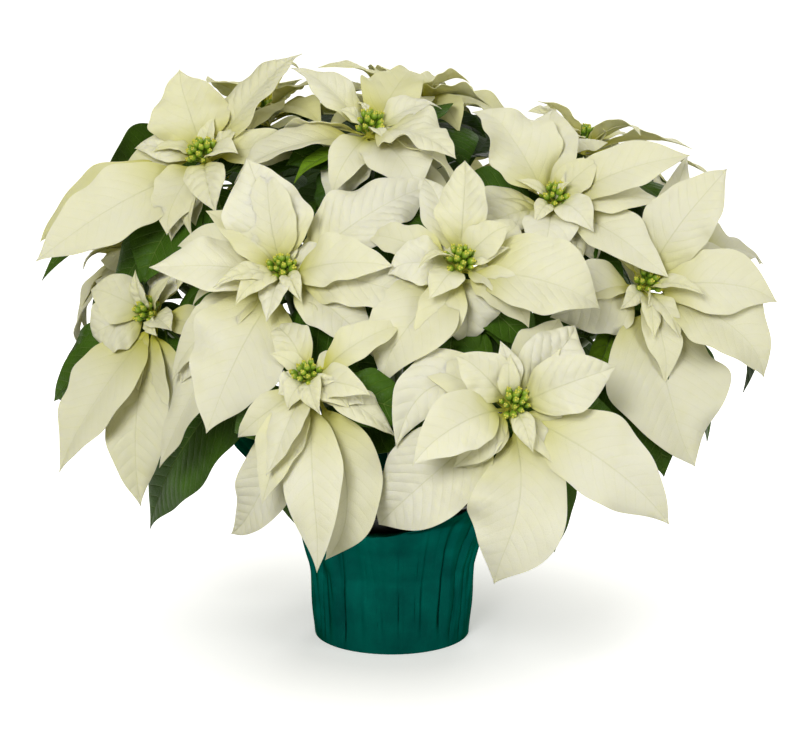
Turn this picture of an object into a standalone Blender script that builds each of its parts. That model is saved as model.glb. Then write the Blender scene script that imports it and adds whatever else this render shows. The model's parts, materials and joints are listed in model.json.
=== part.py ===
"""A cream poinsettia with seventeen blooms, in a nursery pot inside a pleated green pot cover."""

import math
import random

import bmesh
import bpy
import numpy as np
from mathutils import Matrix, Vector
from mathutils.bvhtree import BVHTree

for old in list(bpy.data.objects):
    bpy.data.objects.remove(old)

# Driving dimensions of the pots and the soil, in metres. The origin is the middle of the cover's underside.
COVER_BASE_RADIUS = 0.0625
COVER_WALL = 0.0008
COVER_PLEATS = 24
PLEAT_DEPTH = 0.0020
CRUMPLE_DEPTH = 0.0008
COLLAR_FOOT = 0.0900
COLLAR_HEIGHT = 0.0370
COLLAR_WING = 0.0300
COLLAR_DIP = 0.0240
COVER_RINGS = ((COVER_BASE_RADIUS, 0.0), (0.0646, 0.0250), (0.0674, 0.0600), (0.0738, 0.0840),
               (0.0840, 0.1080), (0.1000, COLLAR_FOOT + COLLAR_HEIGHT))
POT_BASE_RADIUS = 0.0550
POT_TOP_RADIUS = 0.0710
POT_HEIGHT = 0.1130
POT_WALL = 0.0016
RIM_HEIGHT = 0.0110
RIM_OVERHANG = 0.0030
DRAIN_RADIUS = 0.0045
DRAIN_CIRCLE_RADIUS = 0.0380
DRAIN_HOLES = 4
POT_SIDES = 30
SOIL_TOP = 0.0980
STEM_HOLE_DEPTH = 0.0300
GAP = 0.0003
POT_FLOOR = COVER_WALL + GAP

# Driving dimensions of the plants, in metres.
FOOT_RADIUS = 0.0060
FORK_RADIUS = 0.0046
BRANCH_RADIUS = 0.0034
HUB_RADIUS = 0.0042
HUB_LENGTH = 0.0170
ROOT_SINK = 0.0016
ROOT_DEPTH = 0.0020
ROOT_STEP = 0.0115
LONG_BRACT = 0.1500
BLADE_THICKNESS = 0.0008
STALK_HALF_WIDTH = 0.0014
CLEARANCE = 0.0006
BRACT_STALK = 0.12
LEAF_STALK = 0.20
BRACT_FOLD = math.radians(14)
LEAF_FOLD = math.radians(12)
FLAT_ANGLE = math.radians(0.3)
BRANCH_NECK = 0.0050
STEM_BEND = 0.0040
BRANCH_STATIONS = (0.0, 0.30, 0.65, 1.0)
FORK_STEP = 0.0060
HEAD_BUDS = 6
LEAVES_PER_BLOOM = 3
LEAF_SHARES = (0.93, 0.86, 0.78)
LEAF_DROOP = 0.30
LEAF_WIDTH = 0.52
LEAF_ARCH = 0.12
LEAF_SEED = 4
GOLDEN_ANGLE = 137.5
MM = 0.001

# How a blade's mesh is divided: stations along a wide and a narrow blade, and columns across either.
LARGE_WIDTH = 64
LARGE_STATIONS = (0.0, 0.20, 0.44, 0.72, 1.0)
SMALL_STATIONS = (0.0, 0.26, 0.62, 1.0)
BLADE_COLUMNS = (-1.0, 0.0, 1.0)

# How a blade is bent clear of what it would cross: the ways it leans and by how many millimetres, the shares
# of its arch and of its length that are tried, and the lean past which touching its own hub's blades is allowed.
LEAN_WAY = (0.0, 0.98, -0.20)
LEAN_STEPS = (0, 6, -6, 12, -12, 18, -18, 25, -25, 32, -32, 40, -40, 50, -50, 62, -62)
ARCH_STEPS = (1.0, 1.5, 0.6)
SHORTER = (1.0, 0.93, 0.86, 0.78, 0.70)
FREE_LEAN = 30
OUTER_SHARE = 0.25

# The blooms: middle, the way it faces, its bracts, how many more bracts follow a rule, and their first angle.
# Sizes here are in millimetres. A bract's row is how far its tip lies to the right, nearer the viewer and up
# from the middle, its width, its arch as a share of its length, its roll in degrees, and its sway as a share.
BLOOMS = {
    "front_right": ((87, -190, 230), (0.22, -0.85, 0.48), (
        (-21, 20, -126, 76, 0.12, 0, -0.11),
        (113, 5, -86, 74, 0.14, 0, -0.01),
        (50, -30, 52, 52, 0.1, 0, 0),
        (74, -20, 23, 48, 0.12, 0, 0),
        (-84, 15, -28, 52, 0.12, 0, 0.36),
        (-74, 45, -31, 48, 0.14, 0, 0.06),
        (-102, 20, -90, 72, 0.14, 0, 0),
        (-8, -12, 44, 22, 0.1, 0, 0),
    ), 0, 0),
    "front_left": ((-58, -190, 249), (-0.15, -0.85, 0.5), (
        (10, 30, -134, 60, 0.14, 0, 0),
        (14, -5, -140, 70, 0.14, 0, -0.16),
        (-26, 35, -63, 34, 0.14, 0, 0),
        (-59, -10, -125, 62, 0.12, 0, -0.07),
        (41, 15, -13, 30, 0.12, 0, 0),
        (29, -12, 12, 26, 0.12, 0, 0),
        (-20, 20, -8, 30, 0.14, 0, 0),
    ), 0, 0),
    "middle_left": ((-79, -120, 314), (-0.1, -0.72, 0.68), (
        (-53, 50, -110, 96, 0.12, 0, 0.0),
        (-96, 15, 3, 56, 0.12, 0, 0),
        (70, 35, -53, 46, 0.12, 0, 0),
        (107, 30, -19, 54, 0.14, 0, 0),
        (81, 10, 5, 46, 0.12, 0, 0),
        (112, -15, 67, 60, 0.1, 0, 0),
        (-25, -30, 79, 76, 0.08, 0, 0),
        (-82, -12, 25, 44, 0.12, 0, 0),
        (-82, 20, -80, 50, 0.14, 0, 0),
        (-92, -5, -153, 56, 0.16, 0, 0),
        (-9, 40, -30, 26, 0.2, 0, 0),
        (35, 10, 21, 22, 0.12, 0, 0),
    ), 0, 0),
    "middle": ((50, -140, 324), (0.05, -0.7, 0.7), (
        (-63, 40, -79, 74, 0.12, 0, 0),
        (-54, 15, -1, 46, 0.12, 0, 0),
        (104, 20, -29, 80, 0.12, 0, 0),
        (5, -30, 73, 42, 0.08, 0, 0),
        (-23, -32, 61, 40, 0.1, 0, 0),
        (6, 20, -59, 52, 0.16, 0, 0),
        (-26, -5, 21, 24, 0.1, 0, 0),
    ), 0, 0),
    "right": ((192, -70, 297), (0.35, -0.68, 0.64), (
        (30, 45, -135, 116, 0.1, 0, 0.05),
        (96, 20, -67, 76, 0.14, 0, -0.05),
        (65, -20, 85, 60, 0.08, 0, -0.05),
        (-72, 35, -23, 64, 0.12, 0, 0),
        (34, -35, 95, 32, 0.1, 0, 0),
        (102, -15, -14, 58, 0.14, 0, 0),
        (77, -10, 14, 48, 0.12, 0, 0),
    ), 0, 0),
    "upper_right": ((123, -50, 358), (0.12, -0.66, 0.74), (
        (-85, 15, -22, 40, 0.12, 0, 0),
        (-82, 30, -35, 38, 0.14, 0, 0),
        (-54, -28, 73, 72, 0.08, 0, 0),
        (-2, -30, 73, 46, 0.08, 0, 0),
        (105, -15, 30, 50, 0.12, 0, 0),
        (83, 12, -1, 44, 0.14, 0, 0),
        (83, 35, -57, 48, 0.14, 0, 0),
        (27, 32, -20, 30, 0.2, 0, 0),
        (-12, 40, -46, 46, 0.14, 0, 0),
        (33, 38, -42, 40, 0.14, 0, 0),
    ), 0, 0),
    "top": ((-16, -30, 411), (0.02, -0.48, 0.87), (
        (-108, 15, -37, 54, 0.12, 0, 0),
        (-59, -25, 46, 42, 0.1, 0, 0),
        (38, 45, -43, 66, 0.14, 0, 0),
        (65, 30, -22, 60, 0.16, 0, 0),
        (54, -15, 19, 34, 0.12, 0, 0),
        (-29, 45, -47, 58, 0.14, 0, 0),
        (30, 20, -15, 26, 0.2, 0, 0),
        (35, -45, 49, 52, 0.08, 0, 0),
    ), 0, 0),
    "upper_left": ((-145, -20, 389), (-0.2, -0.66, 0.72), (
        (-22, -28, 62, 68, 0.06, 0, 0),
        (74, -20, 81, 56, 0.08, 0, 0),
        (-55, 5, 9, 30, 0.1, 0, 0),
        (-28, 40, -56, 46, 0.14, 0, 0),
        (-24, 28, -63, 34, 0.12, 0, 0),
        (13, 35, -42, 36, 0.14, 0, 0),
        (29, 10, 4, 26, 0.12, 0, 0),
        (-123, 25, -82, 84, 0.1, 0, -0.02),
        (-135, -5, -68, 48, 0.12, 0, -0.01),
        (45, -8, 7, 36, 0.12, 0, 0),
    ), 0, 0),
    "left": ((-185, -50, 271), (-0.42, -0.68, 0.6), (
        (-70, 30, -116, 78, 0.12, 0, -0.06),
        (-6, 40, -143, 60, 0.12, 0, 0),
        (20, 50, -99, 56, 0.14, 0, 0),
        (-50, -5, -21, 54, 0.12, 0, 0),
        (-48, -15, 18, 44, 0.12, 0, 0),
        (19, -15, 36, 32, 0.12, 0, 0),
        (20, 30, -8, 26, 0.14, 0, 0),
    ), 0, 0),
    "back_top": ((18, 70, 425), (0.05, 0.1, 0.98), (
        (60, 25, -4, 58, 0.16, 0, 0),
        (45, 0, 18, 50, 0.14, 0, 0),
        (-31, -5, 20, 56, 0.14, 0, 0),
        (-73, 25, 23, 44, 0.14, 0, 0),
    ), 5, 140),
    "back_left": ((-105, 80, 413), (-0.25, 0.15, 0.95), (
        (-43, 25, 24, 50, 0.14, 0, 0),
        (0, 0, 31, 56, 0.14, 0, 0),
        (45, 15, 25, 46, 0.14, 0, 0),
    ), 6, 40),
    "back_right": ((157, 80, 389), (0.3, 0.15, 0.93), (
        (85, 20, -3, 40, 0.12, 0, -0.1),
        (107, 10, -27, 40, 0.14, 0, 0),
        (-8, 0, 7, 48, 0.12, 0, 0),
        (-46, 15, 26, 44, 0.1, 0, 0),
    ), 5, 30),
    "far_right": ((244, 60, 306), (0.72, -0.1, 0.66), (
        (64, 20, -10, 56, 0.16, 0, 0),
    ), 6, 240),
    "far_left": ((-214, 70, 308), (-0.72, -0.1, 0.66), (
    ), 8, 170),
    "rear_left": ((-142, 200, 352), (-0.4, 0.75, 0.5), (
    ), 9, 10),
    "rear_middle": ((15, 215, 368), (0.02, 0.82, 0.55), (
    ), 9, 80),
    "rear_right": ((146, 195, 321), (0.45, 0.75, 0.45), (
    ), 9, 45),
}

# The plants: where each stem stands in the soil, where it forks, and the blooms that its branches carry.
PLANTS = {
    "left_plant": ((-0.030, -0.012), (-0.038, -0.016, 0.140),
                   ("front_left", "middle_left", "left", "upper_left", "far_left", "back_left")),
    "right_plant": ((0.030, -0.014), (0.038, -0.018, 0.136),
                    ("front_right", "middle", "right", "upper_right", "far_right")),
    "back_plant": ((0.002, 0.032), (0.002, 0.038, 0.144),
                   ("top", "back_top", "back_right", "rear_left", "rear_middle", "rear_right")),
}

# Large leaves placed one by one, for the bloom whose branch carries each: the share of the way along that
# branch, then in millimetres how far the tip lies right, nearer and up from the bloom's middle, and the width.
LEAVES = {
    "far_left": ((0.8, -68, 50, -22, 50), (0.6, -12, -10, -100, 56)),
    "upper_left": ((0.72, -74, -10, -123, 56),),
    "middle_left": ((0.62, -113, -25, -203, 84), (0.8, -43, -60, 10, 48), (0.62, 14, 5, -62, 54), (0.74, 49, 15, -72, 52)),
    "left": ((0.8, -82, 10, -71, 40),),
    "front_right": ((0.62, 33, -15, -114, 78), (0.8, 81, -40, -25, 52), (0.74, -18, -60, 27, 50)),
    "right": ((0.6, 17, 40, -140, 66), (0.74, -3, 0, -53, 56)),
    "front_left": ((0.7, 45, -25, -23, 46), (0.55, 80, -40, -64, 54)),
    "middle": ((0.7, -42, -20, -70, 50), (0.8, 50, -30, -87, 52), (0.6, -14, -5, -54, 50), (0.86, -64, -30, -63, 44)),
    "top": ((0.8, -30, 30, -76, 50), (0.74, 38, 40, -78, 50)),
    "upper_right": ((0.8, -41, 30, -43, 50), (0.74, 30, 40, -46, 50)),
    "rear_middle": ((0.6, 0, -5, -225, 60),),
    "rear_left": ((0.6, -2, 10, -185, 60),),
    "rear_right": ((0.6, 28, 15, -152, 60),),
    "far_right": ((0.6, 4, -20, -116, 56),),
}


def unit(vector):
    """The vector at length one, as an array."""
    vector = np.asarray(vector, float)
    return vector / np.linalg.norm(vector)


def square_axes(axis):
    """Two unit vectors square to a unit axis and to each other."""
    first = unit(np.cross(axis, (0.0, 0.0, 1.0) if abs(axis[2]) < 0.9 else (1.0, 0.0, 0.0)))
    return first, np.cross(axis, first)


def turned(vector, axis, degrees):
    """The vector turned about a unit axis."""
    angle = math.radians(degrees)
    return (vector * math.cos(angle) + np.cross(axis, vector) * math.sin(angle)
            + axis * (axis @ vector) * (1 - math.cos(angle)))


def principled(name, colour, roughness, metallic=0.0):
    """A plain material in one colour."""
    material = bpy.data.materials.new(name)
    material.use_nodes = True
    shader = material.node_tree.nodes["Principled BSDF"]
    shader.inputs["Base Color"].default_value = (*colour, 1.0)
    shader.inputs["Roughness"].default_value = roughness
    shader.inputs["Metallic"].default_value = metallic
    return material


def solid(name, points, faces, material, smooth=False):
    """A mesh object from its points and faces."""
    mesh = bpy.data.meshes.new(name)
    mesh.from_pydata([tuple(point) for point in points], [], faces)
    mesh.materials.append(material)
    if smooth:
        mesh.shade_smooth()
        mesh.set_sharp_from_angle(angle=math.radians(40))
    item = bpy.data.objects.new(name, mesh)
    bpy.context.scene.collection.objects.link(item)
    return item


def turned_solid(name, rings, sides, material, shaped=None):
    """A closed solid from rings of (radius, height), the first and last of which close on the axis."""
    angles = [2 * math.pi * k / sides for k in range(sides)]
    points = [(0.0, 0.0, rings[0][1])]
    for radius, height in rings:
        for angle in angles:
            r, z = (radius, height) if shaped is None else shaped(radius, height, angle)
            points.append((r * math.cos(angle), r * math.sin(angle), z))
    points.append((0.0, 0.0, rings[-1][1]))
    last = len(points) - 1
    faces = []
    for k in range(sides):
        nxt = (k + 1) % sides
        faces.append((0, 1 + nxt, 1 + k))
        for row in range(len(rings) - 1):
            a = 1 + row * sides
            b = a + sides
            faces.append((a + k, a + nxt, b + nxt))
            faces.append((a + k, b + nxt, b + k))
        top = 1 + (len(rings) - 1) * sides
        faces.append((top + k, top + nxt, last))
    return solid(name, points, faces, material, smooth=True)


def tube(name, points, radii, sides, material):
    """A closed tube along points, with a radius at each."""
    points = [np.asarray(point, float) for point in points]
    ways = [unit(points[min(i + 1, len(points) - 1)] - points[max(i - 1, 0)]) for i in range(len(points))]
    first, _ = square_axes(ways[0])
    corners = [points[0]]
    for point, way, radius in zip(points, ways, radii):
        first = unit(first - (first @ way) * way)
        second = np.cross(way, first)
        for k in range(sides):
            angle = 2 * math.pi * k / sides
            corners.append(point + radius * (math.cos(angle) * first + math.sin(angle) * second))
    corners.append(points[-1])
    last = len(corners) - 1
    faces = []
    for k in range(sides):
        nxt = (k + 1) % sides
        faces.append((0, 1 + nxt, 1 + k))
        for row in range(len(points) - 1):
            a = 1 + row * sides
            b = a + sides
            faces.append((a + k, a + nxt, b + nxt))
            faces.append((a + k, b + nxt, b + k))
        top = 1 + (len(points) - 1) * sides
        faces.append((top + k, top + nxt, last))
    return solid(name, corners, faces, material, smooth=True)


def outline(s, stalk):
    """Half width along a blade as a share of its greatest: a stalk, a broad belly and a drawn-out tip."""
    t = np.clip((s - stalk) / (1 - stalk), 0, 1)
    return t ** 0.6 * (1 - t) ** 1.1 / 0.3315


def blade_grid(blade, stations, columns):
    """Points and normals of a blade's upper face, one row for each station from root to tip."""
    root, tip = blade["root"], blade["tip"]
    length = np.linalg.norm(tip - root)
    along = (tip - root) / length
    up = turned(unit(blade["face"] - (blade["face"] @ along) * along), along, blade["roll"])
    crown = (root + tip) / 2 + (up * blade["arch"] + np.cross(along, up) * blade["sway"]) * length * 2
    s = np.asarray(stations, float)[:, None]
    middle = (1 - s) ** 2 * root + 2 * s * (1 - s) * crown + s ** 2 * tip
    tangent = (1 - s) * (crown - root) + s * (tip - crown)
    tangent /= np.linalg.norm(tangent, axis=1, keepdims=True)
    side = np.cross(tangent, up)
    side /= np.linalg.norm(side, axis=1, keepdims=True)
    normal = np.cross(side, tangent)
    half = np.maximum(blade["width"] / 2 * outline(s, blade["stalk"]), STALK_HALF_WIDTH * (1 - s))
    across = half * np.asarray(columns, float)[None, :]
    points = (middle[:, None, :] + across[:, :, None] * side[:, None, :] * math.cos(blade["fold"])
              + abs(across)[:, :, None] * normal[:, None, :] * math.sin(blade["fold"]))
    return points, np.repeat(normal[:, None, :], len(columns), axis=1)


def blade_mesh(blade, swell=0.0, beyond=0.0):
    """Points and triangles of a thin closed blade, or of the part of it beyond a share of its length."""
    stations = [beyond] + [s for s in blade["stations"] if s > beyond]
    grid, normal = blade_grid(blade, stations, BLADE_COLUMNS)
    rows, wide = grid.shape[:2]
    order = [0, 2] + list(range(wide, (rows - 1) * wide + 1))
    upper = (grid + normal * swell).reshape(-1, 3)[order]
    lower = (grid - normal * (BLADE_THICKNESS + swell)).reshape(-1, 3)[order]
    count = len(upper)
    tip = count - 1
    faces = [(0, 3, 2), (0, 1, 3), (1, 4, 3)]
    for i in range(rows - 3):
        a = 2 + i * wide
        c = a + wide
        faces += [(a, a + 1, c), (a + 1, c + 1, c), (a + 1, a + 2, c + 2), (a + 1, c + 2, c + 1)]
    last = tip - wide
    faces += [(last, last + 1, tip), (last + 1, last + 2, tip)]
    rim = [0, 1, *range(4, tip, wide), tip, *range(tip - wide, 1, -wide)]
    closed = [tuple(face) for face in faces]
    closed += [tuple(count + corner for corner in reversed(face)) for face in faces]
    for a, b in zip(rim, rim[1:] + rim[:1]):
        closed.append((b, a, count + a))
        closed.append((b, count + a, count + b))
    return np.vstack([upper, lower]), closed


def tree_of(points, faces):
    """A search tree that finds what a closed mesh crosses."""
    return BVHTree.FromPolygons([tuple(point) for point in points], faces)


def object_tree(item):
    """The search tree of an object whose mesh is in world space."""
    mesh = item.data
    return tree_of([vertex.co for vertex in mesh.vertices], [tuple(face.vertices) for face in mesh.polygons])


# Everything placed so far: its owner, its box, its tree, and the tree of its outer part alone.
PLACED = []


def keep(owner, points, tree, outer=None):
    """Remembers a placed thing, so that later blades are bent clear of it."""
    points = np.asarray(points)
    PLACED.append((owner, points.min(axis=0), points.max(axis=0), tree, outer))


def keep_object(owner, item):
    """Remembers an object whose mesh is in world space."""
    keep(owner, [vertex.co for vertex in item.data.vertices], object_tree(item))


def crossings(blade, owner):
    """How many placed things a blade would cross, and how many near its own hub, with a little room."""
    points, faces = blade_mesh(blade, CLEARANCE)
    tree = tree_of(points, faces)
    outer_tree = tree_of(*blade_mesh(blade, CLEARANCE, OUTER_SHARE))
    low, high = points.min(axis=0), points.max(axis=0)
    far, near = 0, 0
    for other, other_low, other_high, other_tree, other_outer in PLACED:
        if (low > other_high).any() or (high < other_low).any():
            continue
        if other != owner:
            far += bool(tree.overlap(other_tree))
        elif other_outer is not None:
            far += bool(outer_tree.overlap(other_outer))
            near += bool(tree.overlap(other_tree))
    return far, near


def bends(blade):
    """The blade in ever more bent forms: leaned away from or to the viewer, arched, turned up, and shortened."""
    for share in SHORTER:
        for way in (unit(LEAN_WAY), blade["face"]):
            for arch in ARCH_STEPS:
                for lean in LEAN_STEPS:
                    trial = dict(blade)
                    reach = (blade["tip"] - blade["root"]) * share
                    trial["tip"] = blade["root"] + reach + way * lean * MM
                    trial["arch"] = blade["arch"] * arch
                    yield trial, abs(lean) > FREE_LEAN


def bent_clear(blade, owner):
    """The least bent form of a blade that crosses nothing, and as little as it can beside its own hub."""
    best, fewest = None, None
    for trial, far_bent in bends(blade):
        count = crossings(trial, owner)
        if fewest is None or count < fewest:
            best, fewest = trial, count
        if fewest == (0, 0) or (fewest[0] == 0 and far_bent):
            break
    points, faces = blade_mesh(best)
    outer = tree_of(*blade_mesh(best, 0.0, OUTER_SHARE))
    keep(owner, points, tree_of(points, faces), outer)
    return best


def fused(name, pieces, material, origin):
    """One solid from overlapping pieces, with its object's origin at a point."""
    base, others = pieces[0], pieces[1:]
    group = bpy.data.collections.new(name)
    bpy.context.scene.collection.children.link(group)
    for piece in others:
        group.objects.link(piece)
        bpy.context.scene.collection.objects.unlink(piece)
    union = base.modifiers.new("fuse", "BOOLEAN")
    union.operation = "UNION"
    union.operand_type = "COLLECTION"
    union.collection = group
    union.solver = "EXACT"
    view = bpy.context.evaluated_depsgraph_get()
    mesh = bpy.data.meshes.new_from_object(base.evaluated_get(view))
    for piece in pieces:
        bpy.data.objects.remove(piece)
    bpy.data.collections.remove(group)
    clean = bmesh.new()
    clean.from_mesh(mesh)
    bmesh.ops.dissolve_limit(clean, angle_limit=FLAT_ANGLE, verts=clean.verts, edges=clean.edges)
    bmesh.ops.triangulate(clean, faces=clean.faces)
    clean.to_mesh(mesh)
    clean.free()
    mesh.name = name
    mesh.materials.clear()
    mesh.materials.append(material)
    mesh.transform(Matrix.Translation(-Vector(origin)))
    item = bpy.data.objects.new(name, mesh)
    item.location = origin
    bpy.context.scene.collection.objects.link(item)
    return item


def moved_origin(name, item, origin):
    """The object named, with its origin at a point."""
    item.name = item.data.name = name
    item.data.transform(Matrix.Translation(-Vector(origin)))
    item.location = origin
    return item


def pleated(radius, height, angle):
    """A point of the cover's wall: pleated and crumpled below, waved at the collar, low in front, winged at left."""
    share = min(height / COVER_RINGS[1][1], 1.0)
    pleat = PLEAT_DEPTH * share * (0.5 - 0.5 * math.cos(COVER_PLEATS * angle))
    crumple = CRUMPLE_DEPTH * share * math.sin(7 * angle + 90 * height) * math.sin(3 * angle + 1.0)
    collar = (max(height - COLLAR_FOOT, 0.0) / COLLAR_HEIGHT) ** 2
    wave = collar * (0.005 * math.sin(5 * angle + 0.6) + 0.003 * math.sin(8 * angle + 2.0))
    wing = collar * COLLAR_WING * max(math.cos(angle - math.radians(176)), 0.0) ** 8
    dip = collar * COLLAR_DIP * max(-math.sin(angle), 0.0) ** 2
    return radius - pleat + crumple + wave + wing - 0.5 * dip, height + 0.8 * wave + 1.1 * wing - dip


def pot_cover():
    """The thin green sheet: pleated wall, closed flat bottom and flared collar."""
    inner = [(radius - COVER_WALL, height) for radius, height in reversed(COVER_RINGS[1:])]
    inner.append((COVER_BASE_RADIUS - COVER_WALL, COVER_WALL))
    material = principled("green_film", (0.012, 0.085, 0.070), 0.30, 0.3)
    return turned_solid("pot_cover", [*COVER_RINGS, *inner], COVER_PLEATS * 2, material, pleated)


def pot_radius(height):
    """The pot's outer radius at a height above the ground."""
    return POT_BASE_RADIUS + (POT_TOP_RADIUS - POT_BASE_RADIUS) * (height - POT_FLOOR) / POT_HEIGHT


def drilled(item, name, radius, depth, vertices, places):
    """Cuts a round hole into an object at each place."""
    for k, place in enumerate(places):
        bpy.ops.mesh.primitive_cylinder_add(vertices=vertices, radius=radius, depth=depth, location=place)
        cutter = bpy.context.object
        cutter.name = f"{name}_cutter_{k + 1}"
        cutter.hide_render = True
        cutter.display_type = "WIRE"
        cut = item.modifiers.new(f"{name}_{k + 1}", "BOOLEAN")
        cut.operation = "DIFFERENCE"
        cut.solver = "EXACT"
        cut.object = cutter
    return item


def nursery_pot():
    """The dark plastic pot: tapered wall, overhanging rim and drain holes."""
    top = POT_FLOOR + POT_HEIGHT
    neck = pot_radius(top - RIM_HEIGHT)
    rings = ((POT_BASE_RADIUS, POT_FLOOR), (neck, top - RIM_HEIGHT), (neck + RIM_OVERHANG, top - RIM_HEIGHT),
             (POT_TOP_RADIUS + RIM_OVERHANG, top), (POT_TOP_RADIUS - POT_WALL, top),
             (POT_BASE_RADIUS - POT_WALL, POT_FLOOR + POT_WALL))
    pot = turned_solid("nursery_pot", rings, POT_SIDES, principled("dark_plastic", (0.012, 0.012, 0.012), 0.5))
    turns = [2 * math.pi * k / DRAIN_HOLES for k in range(DRAIN_HOLES)]
    places = [(DRAIN_CIRCLE_RADIUS * math.cos(a), DRAIN_CIRCLE_RADIUS * math.sin(a), POT_FLOOR) for a in turns]
    return drilled(pot, "drain", DRAIN_RADIUS, 0.02, 6, places)


def potting_soil():
    """Soil that fills the pot, with a plain hole for each stem."""
    low = POT_FLOOR + POT_WALL + GAP
    rings = [(pot_radius(height) - POT_WALL - 2 * GAP, height) for height in (low, SOIL_TOP)]
    soil = turned_solid("potting_soil", rings, POT_SIDES, principled("soil", (0.030, 0.020, 0.013), 0.95))
    places = [(*foot, SOIL_TOP) for foot, _, _ in PLANTS.values()]
    return drilled(soil, "stem_hole", FOOT_RADIUS + 2 * GAP, 2 * STEM_HOLE_DEPTH, 10, places)


def branch_points(fork, end, way):
    """Points along a branch that leaves the fork upward and reaches a hub along its axis."""
    fork = np.asarray(fork, float)
    reach = np.linalg.norm(end - fork)
    neck = end - way * BRANCH_NECK
    first = fork + np.array([0.0, 0.0, 0.25 * reach])
    second = neck - way * 0.40 * reach
    t = np.array(BRANCH_STATIONS)[:, None]
    curve = (1 - t) ** 3 * fork + 3 * (1 - t) ** 2 * t * first + 3 * (1 - t) * t ** 2 * second + t ** 3 * neck
    return np.vstack([curve, end])


def bloom_place(name):
    """A bloom's middle, in metres, and the unit way that it faces."""
    middle, facing = BLOOMS[name][:2]
    return np.array(middle, float) * MM, unit(facing)


def bract_blade(name, row, ruled):
    """A bract of a bloom as a blade, from its row of sizes."""
    middle, facing = bloom_place(name)
    right, near, up, width, arch, roll, sway = row
    reach = np.array([right, -near, up], float) * MM
    depth = ROOT_DEPTH + ROOT_STEP * min(np.linalg.norm(reach) / LONG_BRACT, 1.0)
    out = unit(reach - (reach @ facing) * facing)
    root = middle - facing * depth + out * (HUB_RADIUS - ROOT_SINK)
    stations = LARGE_STATIONS if width >= LARGE_WIDTH and not ruled else SMALL_STATIONS
    return {"root": root, "tip": middle + reach, "face": facing, "width": width * MM, "arch": arch, "roll": roll,
            "sway": sway, "fold": BRACT_FOLD, "stalk": BRACT_STALK, "stations": stations}


def ruled_rows(name, count, start):
    """Rows of sizes for the bracts of a bloom that is built by rule: large ones below, small ones above."""
    _, facing = bloom_place(name)
    first, second = square_axes(facing)
    draw = random.Random(name)
    rows = []
    for k in range(count):
        angle = math.radians(start + GOLDEN_ANGLE * k)
        small = k >= count - 3
        length = draw.uniform(46, 60) if small else draw.uniform(98, 128)
        lean = draw.uniform(0.25, 0.55) if small else draw.uniform(-0.35, 0.05)
        way = unit(first * math.cos(angle) + second * math.sin(angle) + facing * lean)
        x, y, z = way * length
        width = draw.uniform(20, 24) if small else draw.uniform(52, 64)
        rows.append((x, -y, z, width, draw.uniform(0.10, 0.16), 0, 0))
    return rows


def flower_head(name, material):
    """The cluster of buds in the middle of a bloom: a flared stalk with pointed buds raised from its top."""
    middle, facing = bloom_place(name)
    first, second = square_axes(facing)
    foot = middle + facing * GAP

    def ring(radius, height, turn):
        angles = [2 * math.pi * (k + turn) / HEAD_BUDS for k in range(HEAD_BUDS)]
        return [foot + facing * height + radius * (first * math.cos(a) + second * math.sin(a)) for a in angles]

    points = [foot, *ring(0.0036, 0.0, 0), *ring(0.0110, 0.0075, 0), *ring(0.0050, 0.0095, 0),
              *ring(0.0120, 0.0150, 0.5), foot + facing * 0.0170]
    base, edge, inner, tips, crown = [1 + row * HEAD_BUDS for row in range(5)]
    faces = []
    for k in range(HEAD_BUDS):
        n = (k + 1) % HEAD_BUDS
        faces += [(0, base + n, base + k), (base + k, base + n, edge + n), (base + k, edge + n, edge + k)]
        faces += [(edge + k, edge + n, tips + k), (edge + n, inner + n, tips + k)]
        faces += [(inner + n, inner + k, tips + k), (inner + k, edge + k, tips + k), (inner + k, inner + n, crown)]
    return solid("head", points, faces, material)


def leaf_piece(root, tip, face, width, owner, material):
    """A leaf with its stalk as one blade, bent clear of all that is placed."""
    blade = {"root": root, "tip": tip, "face": unit(face), "width": width, "arch": LEAF_ARCH, "roll": 0.0,
             "sway": 0.0, "fold": LEAF_FOLD, "stalk": LEAF_STALK, "stations": SMALL_STATIONS}
    points, faces = blade_mesh(bent_clear(blade, owner))
    return solid("leaf", points, faces, material)


def stem_pieces(plant, material):
    """A plant's stem and its branches, and the path of each branch by its bloom's name."""
    foot, fork, names = PLANTS[plant]
    fork = np.array(fork, float)
    ground = np.array([*foot, SOIL_TOP - STEM_HOLE_DEPTH + GAP])
    bend = np.array([*foot, SOIL_TOP + STEM_BEND])
    path = [ground, bend, fork, fork + (0, 0, FORK_STEP)]
    pieces = [tube("main_stem", path, [FOOT_RADIUS, FOOT_RADIUS, FORK_RADIUS * 1.25, 0.002], 8, material)]
    paths = {}
    for k, name in enumerate(names):
        middle, facing = bloom_place(name)
        start = fork - (0, 0, FORK_STEP * k)
        paths[name] = branch_points(start, middle - facing * (HUB_LENGTH + GAP), facing)
        radii = np.linspace(FORK_RADIUS, BRANCH_RADIUS, len(paths[name]))
        pieces.append(tube("branch", paths[name], radii, 5, material))
    return pieces, paths


def along(path, share):
    """The point at a share of the way along a path."""
    at = share * (len(path) - 1)
    low = min(int(at), len(path) - 2)
    return path[low] + (path[low + 1] - path[low]) * (at - low)


def placed_leaves(name, path, owner, material):
    """The leaves of one branch that have a place of their own."""
    middle, facing = bloom_place(name)
    leaves = []
    for share, right, near, up, width in LEAVES.get(name, ()):
        tip = middle + np.array([right, -near, up], float) * MM
        leaves.append(leaf_piece(along(path, share), tip, facing, width * MM, owner, material))
    return leaves


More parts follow.
